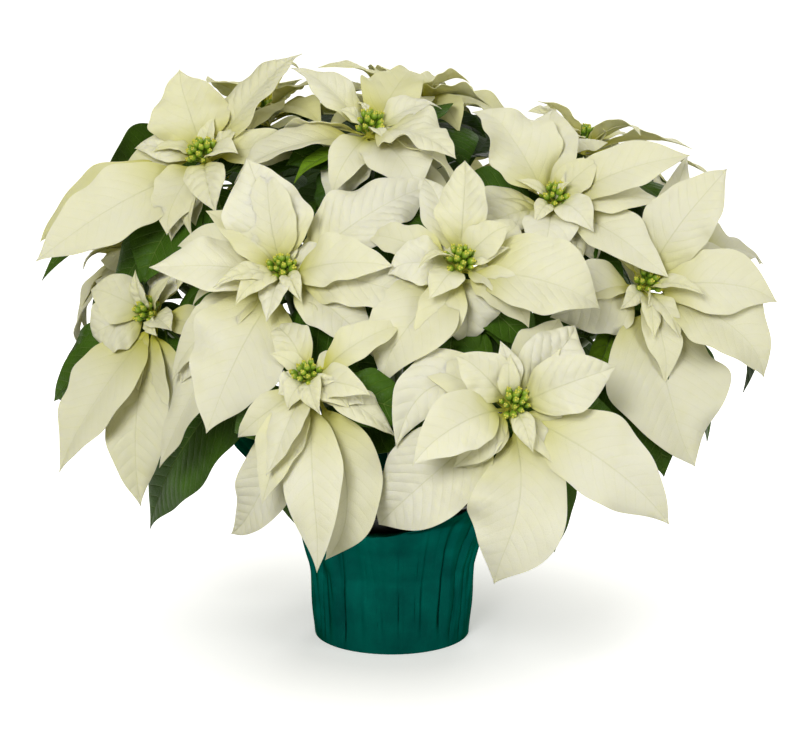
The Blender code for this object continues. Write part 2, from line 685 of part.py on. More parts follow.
def ruled_leaves(name, path, owner, material, draw):
    """The other leaves of one branch, set round it by rule."""
    _, facing = bloom_place(name)
    first, second = square_axes(facing)
    start = draw.uniform(0, 360)
    leaves = []
    for k in range(LEAVES_PER_BLOOM - min(len(LEAVES.get(name, ())), 2)):
        root = along(path, LEAF_SHARES[k])
        angle = math.radians(start + GOLDEN_ANGLE * k)
        out = unit(first * math.cos(angle) + second * math.sin(angle) - (0, 0, LEAF_DROOP))
        length = draw.uniform(0.105, 0.140)
        leaves.append(leaf_piece(root, root + out * length, facing, length * LEAF_WIDTH, owner, material))
    return leaves


# The pots and the soil.
plant_root = bpy.data.objects.new("poinsettia", None)
bpy.context.scene.collection.objects.link(plant_root)
cover = pot_cover()
pot = nursery_pot()
made = [cover, pot, potting_soil()]
keep_object("pot_cover", cover)
keep_object("nursery_pot", pot)

# The stems and branches, then the flower heads and the hubs that carry the bracts.
leaf_material = principled("green_leaf", (0.045, 0.11, 0.02), 0.5)
bract_material = principled("cream_bract", (0.83, 0.80, 0.60), 0.6)
bud_material = principled("bud_green", (0.30, 0.36, 0.04), 0.5)
stems = {}
branches = {}
for plant in PLANTS:
    stems[plant], paths = stem_pieces(plant, leaf_material)
    branches.update(paths)
    for piece in stems[plant]:
        keep_object(plant, piece)
heads = {}
bracts = {}
for name in BLOOMS:
    middle, facing = bloom_place(name)
    heads[name] = flower_head(name, bud_material)
    hub = tube("hub", [middle - facing * HUB_LENGTH, middle], [BRANCH_RADIUS, HUB_RADIUS], 6, bract_material)
    bracts[name] = [hub]
    keep_object(name + "_flower_head", heads[name])
    keep_object(name, hub)

# The bracts of each bloom, and after them the leaves, which bend clear of the bracts.
for name, (_, _, rows, ruled, start) in BLOOMS.items():
    for index, row in enumerate([*rows, *ruled_rows(name, ruled, start)]):
        blade = bent_clear(bract_blade(name, row, index >= len(rows)), name)
        points, faces = blade_mesh(blade)
        bracts[name].append(solid("bract", points, faces, bract_material))
for plant, (_, _, names) in PLANTS.items():
    for name in names:
        stems[plant] += placed_leaves(name, branches[name], plant, leaf_material)
leaf_draw = random.Random(LEAF_SEED)
for plant, (_, _, names) in PLANTS.items():
    for name in names:
        stems[plant] += ruled_leaves(name, branches[name], plant, leaf_material, leaf_draw)

# Each plant's stem, branches and leaves become one solid, and so do each bloom's hub and bracts.
for plant, pieces in stems.items():
    made.append(fused(plant, pieces, leaf_material, (*PLANTS[plant][0], SOIL_TOP)))
for name in BLOOMS:
    middle, _ = bloom_place(name)
    made.append(fused(f"{name}_bracts", bracts[name], bract_material, middle))
    made.append(moved_origin(f"{name}_flower_head", heads[name], middle))
for item in made:
    item.parent = plant_root
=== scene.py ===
"""The looks of a cream poinsettia in a pleated green pot cover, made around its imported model."""

import json
import math
import random

import bpy
import numpy as np
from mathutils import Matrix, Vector
from mathutils.kdtree import KDTree

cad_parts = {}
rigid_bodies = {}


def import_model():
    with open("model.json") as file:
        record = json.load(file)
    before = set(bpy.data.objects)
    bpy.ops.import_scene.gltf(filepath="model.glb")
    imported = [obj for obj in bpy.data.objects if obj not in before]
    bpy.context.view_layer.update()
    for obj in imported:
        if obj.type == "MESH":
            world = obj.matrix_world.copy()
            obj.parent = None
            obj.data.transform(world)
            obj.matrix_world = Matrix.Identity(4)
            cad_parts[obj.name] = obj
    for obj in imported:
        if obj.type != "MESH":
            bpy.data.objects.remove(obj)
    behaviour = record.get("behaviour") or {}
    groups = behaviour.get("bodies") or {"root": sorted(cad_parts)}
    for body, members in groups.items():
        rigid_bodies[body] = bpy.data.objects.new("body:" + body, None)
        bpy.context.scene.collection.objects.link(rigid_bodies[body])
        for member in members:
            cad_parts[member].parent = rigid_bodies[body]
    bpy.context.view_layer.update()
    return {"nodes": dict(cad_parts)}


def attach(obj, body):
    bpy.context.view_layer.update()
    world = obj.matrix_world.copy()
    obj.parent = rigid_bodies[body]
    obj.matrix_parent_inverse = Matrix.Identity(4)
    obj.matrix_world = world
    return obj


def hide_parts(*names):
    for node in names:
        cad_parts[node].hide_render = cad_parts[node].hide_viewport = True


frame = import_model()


# Pot cover
# The real one is a sheet of thin green plastic film with a dull sheen. It is gathered into pleats as it
# is pressed round the pot, closed flat below, and its loose top edge flares out into a collar.
COVER_WALL = 0.0008
COVER_PLEATS = 24
PLEAT_DEPTH = 0.0020
CRUMPLE_DEPTH = 0.0008
COLLAR_FOOT = 0.0900
COLLAR_HEIGHT = 0.0370
COLLAR_WAVES = ((0.005, 5, 0.6), (0.003, 8, 2.0))
COLLAR_WING = 0.0300
WING_ANGLE = math.radians(176)
COLLAR_DIP = 0.0240
DIP_TURN = 0.26
COVER_PROFILE = ((0.0, 0.0625), (0.0250, 0.0646), (0.0600, 0.0674), (0.0840, 0.0738), (0.1080, 0.0840),
                 (COLLAR_FOOT + COLLAR_HEIGHT, 0.1000))
BASE_RINGS = (0.25, 0.5, 0.75, 0.96)
COVER_SIDES = 480
COVER_ROWS = 60
CREASES = 34
CREASE_SEED = 5
CREASE_LIP = 2.2


def pleated(height, angle, creases):
    """Radius and height of the cover's wall: the solid's pleats and waves, with creases pressed in."""
    radius = np.interp(height, [h for h, _ in COVER_PROFILE], [r for _, r in COVER_PROFILE])
    share = np.clip(height / COVER_PROFILE[1][0], 0, 1)
    ridge = 0.5 - 0.5 * np.cos(COVER_PLEATS * angle)
    pleat = PLEAT_DEPTH * share * ridge ** 2.5
    crumple = CRUMPLE_DEPTH * share * np.sin(7 * angle + 90 * height) * np.sin(3 * angle + 1.0)
    collar = (np.clip(height - COLLAR_FOOT, 0, None) / COLLAR_HEIGHT) ** 2
    wave = collar * sum(depth * np.sin(count * angle + start) for depth, count, start in COLLAR_WAVES)
    wing = collar * COLLAR_WING * np.clip(np.cos(angle - WING_ANGLE), 0, None) ** 8
    dip = collar * COLLAR_DIP * np.clip(-np.sin(angle + DIP_TURN), 0, None) ** 2
    pressed = np.zeros_like(radius)
    for place, slant, foot, top, depth, width in creases:
        off = (angle - place - slant * height + math.pi) % (2 * math.pi) - math.pi
        along = np.clip((height - foot) / 0.012, 0, 1) * np.clip((top - height) / 0.018, 0, 1)
        groove = np.exp(-np.abs(off) / width)
        lip = np.exp(-np.abs(off - CREASE_LIP * width) / width)
        pressed += depth * along * (groove - 0.6 * lip)
    radius = radius - pleat + crumple + wave + wing - 0.5 * dip - pressed
    return radius, height + 0.8 * wave + 1.1 * wing - dip


def cover_creases():
    """Where the creases run: angle, slant, lower and upper end, depth and width."""
    draw = random.Random(CREASE_SEED)
    creases = []
    for k in range(CREASES):
        place = 2 * math.pi * (k + draw.uniform(-0.35, 0.35)) / CREASES
        foot = draw.choice((0.0, 0.0, 0.012, 0.035))
        top = draw.choice((0.070, 0.095, 0.120, 0.150))
        creases.append((place, draw.uniform(-1.2, 1.2), foot, top, draw.uniform(0.0006, 0.0018),
                        draw.uniform(0.022, 0.045)))
    return creases


def plain_mesh(name, points, faces=(), edges=()):
    """An object at the origin whose mesh has these points, faces and edges."""
    mesh = bpy.data.meshes.new(name)
    mesh.from_pydata([tuple(point) for point in points], edges, faces)
    item = bpy.data.objects.new(name, mesh)
    bpy.context.scene.collection.objects.link(item)
    return item


def band(start, sides):
    """The faces between a ring of points and the next one."""
    return [(start + k, start + (k + 1) % sides, start + sides + (k + 1) % sides, start + sides + k)
            for k in range(sides)]


def cover_sheet():
    """The outer face of the cover as one sheet: a flat base, a small turn at the foot, wall and collar."""
    angle = np.linspace(0, 2 * math.pi, COVER_SIDES, endpoint=False)[None, :]
    height = np.linspace(0, 1, COVER_ROWS)[:, None] ** 0.9 * COVER_PROFILE[-1][0]
    radius, z = pleated(height + 0 * angle, angle + 0 * height, cover_creases())
    rings = [(COVER_PROFILE[0][1] * share + 0 * angle[0], 0 * angle[0]) for share in BASE_RINGS]
    rings += zip(radius, z)
    points = [(0.0, 0.0, 0.0)]
    for r, h in rings:
        points += zip(r * np.cos(angle[0]), r * np.sin(angle[0]), h)
    faces = [(0, 1 + (k + 1) % COVER_SIDES, 1 + k) for k in range(COVER_SIDES)]
    for row in range(len(rings) - 1):
        faces += band(1 + row * COVER_SIDES, COVER_SIDES)
    return plain_mesh("pleated_pot_cover", points, faces)


def finished(item, material, smooth_angle=60):
    """The object with its modifiers made into its mesh, its material set and its round faces smooth."""
    view = bpy.context.evaluated_depsgraph_get()
    mesh = bpy.data.meshes.new_from_object(item.evaluated_get(view))
    item.modifiers.clear()
    item.data = mesh
    mesh.materials.clear()
    mesh.materials.append(material)
    mesh.shade_smooth()
    mesh.set_sharp_from_angle(angle=math.radians(smooth_angle))
    return item


def feed(socket, value):
    """Links a field to a socket, or sets a plain value on it."""
    if isinstance(value, Field):
        value.tree.links.new(value.socket, socket)
    elif socket.type == "RGBA":
        socket.default_value = (*value, 1.0)
    else:
        socket.default_value = value


class Field:
    """A number or a vector worked out by a node tree, so that a pattern is written as a formula."""

    def __init__(self, tree, socket):
        self.tree = tree
        self.socket = socket

    def is_vector(self):
        return self.socket.type in ("VECTOR", "RGBA")

    def node(self, family, kind, values, output=0):
        node = self.tree.nodes.new(family)
        node.operation = kind
        for socket, value in zip(node.inputs, values):
            feed(socket, value)
        return Field(self.tree, node.outputs[output])

    def number(self, kind, *others):
        return self.node("ShaderNodeMath", kind, (self, *others))

    def vector(self, kind, *others):
        return self.node("ShaderNodeVectorMath", kind, (self, *others))

    def __add__(self, other):
        return self.vector("ADD", other) if self.is_vector() else self.number("ADD", other)

    def __sub__(self, other):
        return self.vector("SUBTRACT", other) if self.is_vector() else self.number("SUBTRACT", other)

    def __mul__(self, other):
        if not self.is_vector():
            return self.number("MULTIPLY", other)
        scaled = self.vector("SCALE")
        feed(scaled.socket.node.inputs["Scale"], other)
        return scaled

    def __truediv__(self, other):
        return self.number("DIVIDE", other)

    def __pow__(self, other):
        return self.number("POWER", other)

    def __rsub__(self, other):
        return (self * -1) + other

    __radd__ = __add__
    __rmul__ = __mul__

    def capped(self, most=1):
        return self.number("MINIMUM", most)

    def floored(self, least=0):
        return self.number("MAXIMUM", least)

    def between(self, low, high):
        """0 at low, 1 at high and in a straight line between, whichever is the greater."""
        return ((self - low) / (high - low)).floored().capped()

    def cosine(self):
        return self.number("COSINE")

    def sine(self):
        return self.number("SINE")

    def size(self):
        return self.number("ABSOLUTE")

    def length(self):
        return self.node("ShaderNodeVectorMath", "LENGTH", (self,), 1)

    def parts(self):
        """Its X, Y and Z."""
        node = self.tree.nodes.new("ShaderNodeSeparateXYZ")
        feed(node.inputs[0], self)
        return [Field(self.tree, socket) for socket in node.outputs]


def new_material(name):
    """A material, its shader, and the place on the object as a field."""
    material = bpy.data.materials.new(name)
    material.use_nodes = True
    tree = material.node_tree
    place = Field(tree, tree.nodes.new("ShaderNodeTexCoord").outputs["Object"])
    return material, tree.nodes["Principled BSDF"], place


def pattern(place, family, values, **settings):
    """A texture's node at a place, as a field."""
    node = place.tree.nodes.new(family)
    for key, value in settings.items():
        setattr(node, key, value)
    for key, value in {"Vector": place, **values}.items():
        feed(node.inputs[key], value)
    return Field(place.tree, node.outputs[0])


def noise(place, scale, detail):
    """Clouds of a scale, as a field."""
    return pattern(place, "ShaderNodeTexNoise", {"Scale": scale, "Detail": detail})


def blended(share, first, second):
    """A colour between two, by a field from 0 to 1. Each is a colour or a field."""
    node = share.tree.nodes.new("ShaderNodeMix")
    node.data_type = "RGBA"
    sockets = (node.inputs["Factor"], node.inputs[6], node.inputs[7])
    for socket, value in zip(sockets, (share, first, second)):
        feed(socket, value)
    return Field(share.tree, node.outputs[2])


def surfaced(shader, height, strength, distance, **values):
    """Raises the shader's surface by a height field, in metres times distance, and sets inputs by name."""
    bump = height.tree.nodes.new("ShaderNodeBump")
    for key, value in (("Strength", strength), ("Distance", distance), ("Height", height)):
        feed(bump.inputs[key], value)
    values["Normal"] = Field(height.tree, bump.outputs["Normal"])
    for key, value in values.items():
        feed(shader.inputs[key.replace("_", " ")], value)


def film_material():
    """Green film: deep teal with a metallic sheen, darker and duller in patches."""
    material, shader, place = new_material("green_film")
    cloudy = noise(place, 34, 4)
    fine = noise(place, 420, 3)
    stretched = noise(place, 90, 2)
    colour = blended(cloudy.between(0.35, 0.75), (0.0008, 0.088, 0.068), (0.0012, 0.050, 0.042))
    surfaced(shader, fine * 0.3 + stretched, 0.35, 0.0006, Base_Color=colour, Metallic=1.0,
             Roughness=cloudy * 0.2 + 0.30, Specular_Tint=(0.03, 0.42, 0.36))
    return material


cover = cover_sheet()
wall = cover.modifiers.new("wall", "SOLIDIFY")
wall.thickness = COVER_WALL
wall.offset = -1
finished(cover, film_material(), 35)
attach(cover, "root")
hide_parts("pot_cover")


# Nursery pot
# The real one is injection-moulded black plastic: a tapered wall with a stepped, rolled rim, and drain
# holes that the cover hides. It stands loose inside the cover, and only its rim shows above the collar.
POT_FLOOR = COVER_WALL + 0.0003
POT_BASE_RADIUS = 0.0550
POT_TOP_RADIUS = 0.0710
POT_HEIGHT = 0.1130
POT_WALL = 0.0016
POT_SLOPE = (POT_TOP_RADIUS - POT_BASE_RADIUS) / POT_HEIGHT
RIM_HEIGHT = 0.0110
RIM_OVERHANG = 0.0030
RIM_TURN = 0.0004
RIM_LIP = 0.0007
POT_SIDES = 120


def turned_mesh(name, profile, sides):
    """A closed solid turned about Z from its profile of (radius, height), listed up the outer face."""
    angles = np.linspace(0, 2 * math.pi, sides, endpoint=False)
    points = []
    for radius, height in profile:
        points += [(radius * math.cos(a), radius * math.sin(a), height) for a in angles]
    faces = []
    for row in range(len(profile) - 1):
        faces += band(row * sides, sides)
    faces.append(tuple(reversed(range(sides))))
    faces.append(tuple(range(len(points) - sides, len(points))))
    return plain_mesh(name, points, faces)


def nursery_pot():
    """The pot: its wall, rim step, two turned lips and the inside down to the floor."""
    top = POT_FLOOR + POT_HEIGHT
    step = POT_TOP_RADIUS - POT_SLOPE * RIM_HEIGHT
    rim = POT_TOP_RADIUS + RIM_OVERHANG
    inside = POT_TOP_RADIUS - POT_WALL
    profile = ((POT_BASE_RADIUS, POT_FLOOR), (step, top - RIM_HEIGHT),
               (step + RIM_OVERHANG, top - RIM_HEIGHT),
               (step + RIM_OVERHANG + RIM_TURN, top - RIM_HEIGHT + RIM_LIP),
               (rim, top - RIM_LIP), (rim - RIM_LIP, top), (inside + RIM_LIP, top), (inside, top - RIM_LIP),
               (POT_BASE_RADIUS - POT_WALL, POT_FLOOR + POT_WALL))
    return turned_mesh("moulded_nursery_pot", profile, POT_SIDES)


def moulded_material():
    """Black plastic, matt and faintly grained, with dust on it in patches."""
    material, shader, place = new_material("moulded_plastic")
    grain = noise(place, 900, 2)
    dust = noise(place, 60, 5)
    colour = blended(dust.between(0.55, 0.8) * 0.35, (0.010, 0.010, 0.010), (0.06, 0.05, 0.035))
    surfaced(shader, grain, 0.2, 0.0002, Base_Color=colour, Roughness=dust * 0.3 + 0.3)
    return material


pot = finished(nursery_pot(), moulded_material(), 30)
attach(pot, "root")
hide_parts("nursery_pot")


# Potting soil
# The real mix is peat with fine bark, filled to below the rim and settled by watering. The solid stays
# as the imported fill, and loose crumbs lie all over its top.
SOIL_TOP = 0.0980
SOIL_MARGIN = 0.0025
CRUMB_SIZE = 0.0034
CRUMBS_PER_AREA = 130000
CRUMB_SPOT_SEED = 3
CRUMB_SIZE_SEED = 8
CRUMB_TURN_SEED = 9
CRUMB_FORM_SEED = 10


def soil_material(name, dark, light, scale):
    """Peat or bark: dark fibres and lighter specks."""
    material, shader, place = new_material(name)
    speck = noise(place, scale, 6)
    surfaced(shader, speck, 0.8, 0.002, Base_Color=blended(speck.between(0.42, 0.72), dark, light),
             Roughness=0.95)
    return material


def new_tree(name, inputs):
    """A node tree for a modifier, its input values by name as fields, and a maker of its nodes."""
    tree = bpy.data.node_groups.new(name, "GeometryNodeTree")
    tree.interface.new_socket("Geometry", in_out="OUTPUT", socket_type="NodeSocketGeometry")
    for label, kind in {"Geometry": "Geometry", **inputs, "Material": "Material"}.items():
        tree.interface.new_socket(label, in_out="INPUT", socket_type=f"NodeSocket{kind}")
    given = tree.nodes.new("NodeGroupInput")
    values = {socket.name: Field(tree, socket) for socket in given.outputs if socket.name}

    def add(kind, output=0, properties=None, **links):
        node = tree.nodes.new(kind)
        for key, value in (properties or {}).items():
            setattr(node, key, value)
        for key, value in links.items():
            feed(node.inputs[key.replace("_", " ")], value)
        return Field(tree, node.outputs[output])

    return tree, values, add


def closed_tree(tree, given, add, geometry):
    """Ends a tree with real faces in one material."""
    real = add("GeometryNodeRealizeInstances", Geometry=geometry)
    painted = add("GeometryNodeSetMaterial", Geometry=real, Material=given["Material"])
    feed(tree.nodes.new("NodeGroupOutput").inputs[0], painted)
    return tree


def grown(item, tree, material, values):
    """Gives an object a tree as its modifier, with the tree's inputs by name."""
    growth = item.modifiers.new(tree.name, "NODES")
    growth.node_group = tree
    keys = {socket.name: socket.identifier for socket in tree.interface.items_tree
            if socket.in_out == "INPUT"}
    for label, value in {**values, "Material": material}.items():
        growth[keys[label]] = value
    return item


def crumb_tree():
    """Loose crumbs scattered on a disc, in random sizes and turns."""
    tree, given, add = new_tree("crumbs", {"Crumb size": "Float", "Density": "Float"})

    def drawn(kind, output, seed):
        return add("FunctionNodeRandomValue", output=output, properties={"data_type": kind}, Seed=seed)

    spots = add("GeometryNodeDistributePointsOnFaces", Mesh=given["Geometry"], Density=given["Density"],
                Seed=CRUMB_SPOT_SEED)
    crumb = add("GeometryNodeMeshIcoSphere", Radius=0.5, Subdivisions=1)
    size = drawn("FLOAT", 1, CRUMB_SIZE_SEED)
    turn = drawn("FLOAT_VECTOR", 0, CRUMB_TURN_SEED)
    lumpy = drawn("FLOAT_VECTOR", 0, CRUMB_FORM_SEED)
    scale = (lumpy + (0.35, 0.35, 0.25)) * ((size ** 2 + 0.25) * given["Crumb size"])
    placed = add("GeometryNodeInstanceOnPoints", Points=spots, Instance=crumb, Rotation=turn * 6.283,
                 Scale=scale)
    return closed_tree(tree, given, add, placed)


def soil_top():
    """A disc that covers the soil's top, clear of the pot wall."""
    edge = POT_BASE_RADIUS - POT_WALL + POT_SLOPE * (SOIL_TOP - POT_FLOOR) - SOIL_MARGIN
    angles = np.linspace(0, 2 * math.pi, 32, endpoint=False)
    points = [(edge * math.cos(a), edge * math.sin(a), SOIL_TOP) for a in angles]
    return plain_mesh("loose_soil_crumbs", points, [tuple(range(32))])


bark = soil_material("bark_crumbs", (0.020, 0.012, 0.007), (0.13, 0.095, 0.06), 160)
crumbs = grown(soil_top(), crumb_tree(), bark, {"Crumb size": CRUMB_SIZE, "Density": CRUMBS_PER_AREA})
finished(crumbs, bark)
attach(crumbs, "root")
peat = soil_material("peat", (0.012, 0.008, 0.005), (0.060, 0.040, 0.024), 260)
frame["nodes"]["potting_soil"].material_slots[0].material = peat


# Bracts
# The cream bracts are leaves turned colour: soft, thin and matt, folded at a midrib, quilted between their
# side veins and drawn out to a point. They grow round the short hub at the end of each bloom's branch.
MM = 0.001
HUB_RADIUS = 0.0042
HUB_LENGTH = 0.0170
HUB_SIDES = 16
BRANCH_RADIUS = 0.0034
ROOT_SINK = 0.0016
ROOT_DEPTH = 0.0020
ROOT_STEP = 0.0115
LONG_BRACT = 0.1500
GOLDEN_ANGLE = 137.5
LEAN_WAY = (0.0, 0.98, -0.20)
LEAN_STEPS = (0, 6, -6, 12, -12, 18, -18, 25, -25, 32, -32, 40, -40, 50, -50, 62, -62)
ARCH_STEPS = (1.0, 1.5, 0.6)
SHORTER = (1.0, 0.93, 0.86, 0.78, 0.70)
ON_CORNER = 0.00003
STATIONS = (0.26, 0.62)
WIDE_STATIONS = (0.20, 0.44, 0.72)
WIDE_BRACT = 64
LARGE_BRACT = 30
USUAL_SLIMMING = 0.94
VEIN_SPACING = 0.0105
STALK_HALF_WIDTH = 0.0014
RIB_ROWS = 18
RIB_SIDES = 6
RIB_SINK = 0.0003
WELD = 0.000002
BRACT_SEED = 21
FILLING_SEED = 5

# The blooms: middle, the way it faces, its bracts, how many more follow a rule, and their first angle.
# Sizes are in millimetres. A bract's row is how far its tip lies to the right, nearer the viewer and up
# from the middle, its width, its arch as a share of its length, and in some rows its roll in degrees and
# its sway as a share of its length.
BLOOMS = {
    "front_right": ((87, -190, 230), (0.22, -0.85, 0.48), (
        (-21, 20, -126, 76, 0.12, 0, -0.11), (113, 5, -86, 74, 0.14, 0, -0.01), (50, -30, 52, 52, 0.1),
        (74, -20, 23, 48, 0.12), (-84, 15, -28, 52, 0.12, 0, 0.36), (-74, 45, -31, 48, 0.14, 0, 0.06),
        (-102, 20, -90, 72, 0.14), (-8, -12, 44, 22, 0.1),
    ), 0, 0),
    "front_left": ((-58, -190, 249), (-0.15, -0.85, 0.5), (
        (10, 30, -134, 60, 0.14), (14, -5, -140, 70, 0.14, 0, -0.16), (-26, 35, -63, 34, 0.14),
        (-59, -10, -125, 62, 0.12, 0, -0.07), (41, 15, -13, 30, 0.12), (29, -12, 12, 26, 0.12),
        (-20, 20, -8, 30, 0.14),
    ), 0, 0),
    "middle_left": ((-79, -120, 314), (-0.1, -0.72, 0.68), (
        (-53, 50, -110, 96, 0.12), (-96, 15, 3, 56, 0.12), (70, 35, -53, 46, 0.12),
        (107, 30, -19, 54, 0.14), (81, 10, 5, 46, 0.12), (112, -15, 67, 60, 0.1),
        (-25, -30, 79, 76, 0.08), (-82, -12, 25, 44, 0.12), (-82, 20, -80, 50, 0.14),
        (-92, -5, -153, 56, 0.16), (-9, 40, -30, 26, 0.2), (35, 10, 21, 22, 0.12),
    ), 0, 0),
    "middle": ((50, -140, 324), (0.05, -0.7, 0.7), (
        (-63, 40, -79, 74, 0.12), (-54, 15, -1, 46, 0.12), (104, 20, -29, 80, 0.12),
        (5, -30, 73, 42, 0.08), (-23, -32, 61, 40, 0.1), (6, 20, -59, 52, 0.16), (-26, -5, 21, 24, 0.1),
    ), 0, 0),
    "right": ((192, -70, 297), (0.35, -0.68, 0.64), (
        (30, 45, -135, 116, 0.1, 0, 0.05), (96, 20, -67, 76, 0.14, 0, -0.05),
        (65, -20, 85, 60, 0.08, 0, -0.05), (-72, 35, -23, 64, 0.12), (34, -35, 95, 32, 0.1),
        (102, -15, -14, 58, 0.14), (77, -10, 14, 48, 0.12),
    ), 0, 0),
    "upper_right": ((123, -50, 358), (0.12, -0.66, 0.74), (
        (-85, 15, -22, 40, 0.12), (-82, 30, -35, 38, 0.14), (-54, -28, 73, 72, 0.08),
        (-2, -30, 73, 46, 0.08), (105, -15, 30, 50, 0.12), (83, 12, -1, 44, 0.14),
        (83, 35, -57, 48, 0.14), (27, 32, -20, 30, 0.2), (-12, 40, -46, 46, 0.14),
        (33, 38, -42, 40, 0.14),
    ), 0, 0),
    "top": ((-16, -30, 411), (0.02, -0.48, 0.87), (
        (-108, 15, -37, 54, 0.12), (-59, -25, 46, 42, 0.1), (38, 45, -43, 66, 0.14),
        (65, 30, -22, 60, 0.16), (54, -15, 19, 34, 0.12), (-29, 45, -47, 58, 0.14),
        (30, 20, -15, 26, 0.2), (35, -45, 49, 52, 0.08),
    ), 0, 0),
    "upper_left": ((-145, -20, 389), (-0.2, -0.66, 0.72), (
        (-22, -28, 62, 68, 0.06), (74, -20, 81, 56, 0.08), (-55, 5, 9, 30, 0.1), (-28, 40, -56, 46, 0.14),
        (-24, 28, -63, 34, 0.12), (13, 35, -42, 36, 0.14), (29, 10, 4, 26, 0.12),
        (-123, 25, -82, 84, 0.1, 0, -0.02), (-135, -5, -68, 48, 0.12, 0, -0.01), (45, -8, 7, 36, 0.12),
    ), 0, 0),
    "left": ((-185, -50, 271), (-0.42, -0.68, 0.6), (
        (-70, 30, -116, 78, 0.12, 0, -0.06), (-6, 40, -143, 60, 0.12), (20, 50, -99, 56, 0.14),
        (-50, -5, -21, 54, 0.12), (-48, -15, 18, 44, 0.12), (19, -15, 36, 32, 0.12),
        (20, 30, -8, 26, 0.14),
    ), 0, 0),
    "back_top": ((18, 70, 425), (0.05, 0.1, 0.98), (
        (60, 25, -4, 58, 0.16), (45, 0, 18, 50, 0.14), (-31, -5, 20, 56, 0.14), (-73, 25, 23, 44, 0.14),
    ), 5, 140),
    "back_left": ((-105, 80, 413), (-0.25, 0.15, 0.95), (
        (-43, 25, 24, 50, 0.14), (0, 0, 31, 56, 0.14), (45, 15, 25, 46, 0.14),
    ), 6, 40),
    "back_right": ((157, 80, 389), (0.3, 0.15, 0.93), (
        (85, 20, -3, 40, 0.12, 0, -0.1), (107, 10, -27, 40, 0.14), (-8, 0, 7, 48, 0.12),
        (-46, 15, 26, 44, 0.1),
    ), 5, 30),
    "far_right": ((244, 60, 306), (0.72, -0.1, 0.66), (
        (64, 20, -10, 56, 0.16),
    ), 6, 240),
    "far_left": ((-214, 70, 308), (-0.72, -0.1, 0.66), (), 8, 170),
    "rear_left": ((-142, 200, 352), (-0.4, 0.75, 0.5), (), 9, 10),
    "rear_middle": ((15, 215, 368), (0.02, 0.82, 0.55), (), 9, 80),
    "rear_right": ((146, 195, 321), (0.45, 0.75, 0.45), (), 9, 45),
}
# Bracts that stand between the larger ones, in rows of the same kind.
SLIVERS = {
    "middle_left": (
        (-48, 40, -3, 18, 0.14), (-86, 10, -80, 34, 0.16), (-57, -10, 43, 40, 0.12, 20, 0),
        (-11, -14, 76, 44, 0.12, -20, 0), (-34, 42, -17, 20, 0.2),),
    "left": (
        (13, 26, -104, 36, 0.16), (-9, 10, 35, 16, 0.2), (19, 12, 30, 18, 0.2),),
    "front_left": (
        (-32, 24, -86, 34, 0.14), (45, 30, -3, 26, 0.14), (-16, 20, -18, 20, 0.28), (8, 30, -20, 20, 0.3),
        (31, 20, -17, 18, 0.28),),
    "top": (
        (-24, 5, 15, 16, 0.14), (63, 6, -80, 34, 0.14), (-31, -10, -54, 36, 0.14),),
    "upper_left": (
        (8, -5, 28, 14, 0.14), (-14, 16, -69, 30, 0.16),),
    "upper_right": (
        (-29, 10, 16, 10, 0.2), (12, 10, 15, 10, 0.2), (35, -4, 30, 30, 0.14), (-35, 12, -29, 30, 0.14),),
    "right": (
        (41, 35, -2, 16, 0.14), (2, 38, -35, 18, 0.14), (23, 34, -36, 18, 0.14), (-20, 28, -15, 16, 0.14),),
    "middle": (
        (36, 4, 30, 30, 0.14), (-22, 34, -22, 26, 0.16), (43, 12, -25, 34, 0.14),),
    "front_right": (
        (-41, -4, 37, 36, 0.14), (33, 10, -45, 26, 0.14), (-42, 24, -42, 30, 0.14),),
}
# Bracts set by rule in every bloom, narrow ones beneath the larger ones and small curled ones round the
# flower head: how many, how far off an even place in degrees, the ranges of length, lean towards the
# front, slimness and arch, and the most roll and sway.
FILLING = ((4, 16, (62, 88), (-0.42, -0.12), (0.36, 0.46), (0.10, 0.20), 25, 0.06),
           (2, 20, (28, 42), (0.15, 0.5), (0.34, 0.44), (0.14, 0.26), 35, 0.08))
# Bracts that look different from their neighbours, by bloom and row: slimmer, more rippled, more ruffled.
# Where a row gives a tint, it is painted shade that darkens and yellows a bract lying in shade.
BRACT_LOOKS = {
    ("front_right", 0): {"slim": 0.95, "fullness": 1.1, "quilt": 0.4},
    ("front_right", 1): {"slim": 0.84, "quilt": 0.4}, ("front_right", 2): {"quilt": 2.4, "wave": 1.8},
    ("front_right", 5): {"quilt": 0.5}, ("front_left", 0): {"slim": 0.76, "fullness": 0.1, "quilt": 0.4},
    ("front_left", 1): {"slim": 0.76, "quilt": 0.45}, ("front_left", 3): {"slim": 0.8, "fullness": 0.1},
    ("middle_left", 0): {"slim": 0.84, "quilt": 0.4}, ("middle_left", 1): {"quilt": 0.45},
    ("middle_left", 2): {"quilt": 0.9}, ("middle_left", 3): {"quilt": 1.3},
    ("middle_left", 5): {"quilt": 2.0, "wave": 2.0},
    ("middle_left", 6): {"slim": 0.88, "quilt": 1.3, "wave": 1.8}, ("middle", 0): {"slim": 0.9},
    ("middle", 2): {"quilt": 0.9}, ("middle", 3): {"quilt": 1.5, "wave": 1.6},
    ("right", 0): {"slim": 0.95, "fullness": 0.4, "quilt": 0.45}, ("right", 1): {"quilt": 0.5},
    ("right", 2): {"slim": 0.9, "quilt": 1.0, "wave": 1.5}, ("upper_right", 2): {"wave": 1.8},
    ("upper_left", 0): {"fullness": 0.0, "wave": 1.8, "tint": 0.12},
    ("upper_left", 1): {"quilt": 1.8, "phase": 0.0}, ("upper_left", 7): {"slim": 0.74, "quilt": 0.4},
    ("upper_left", 8): {"tint": 0.35}, ("left", 0): {"slim": 0.85}, ("top", 0): {"quilt": 0.7},
    ("top", 3): {"quilt": 1.2, "wave": 1.8}, ("top", 7): {"tint": 0.35, "wave": 1.8},
}
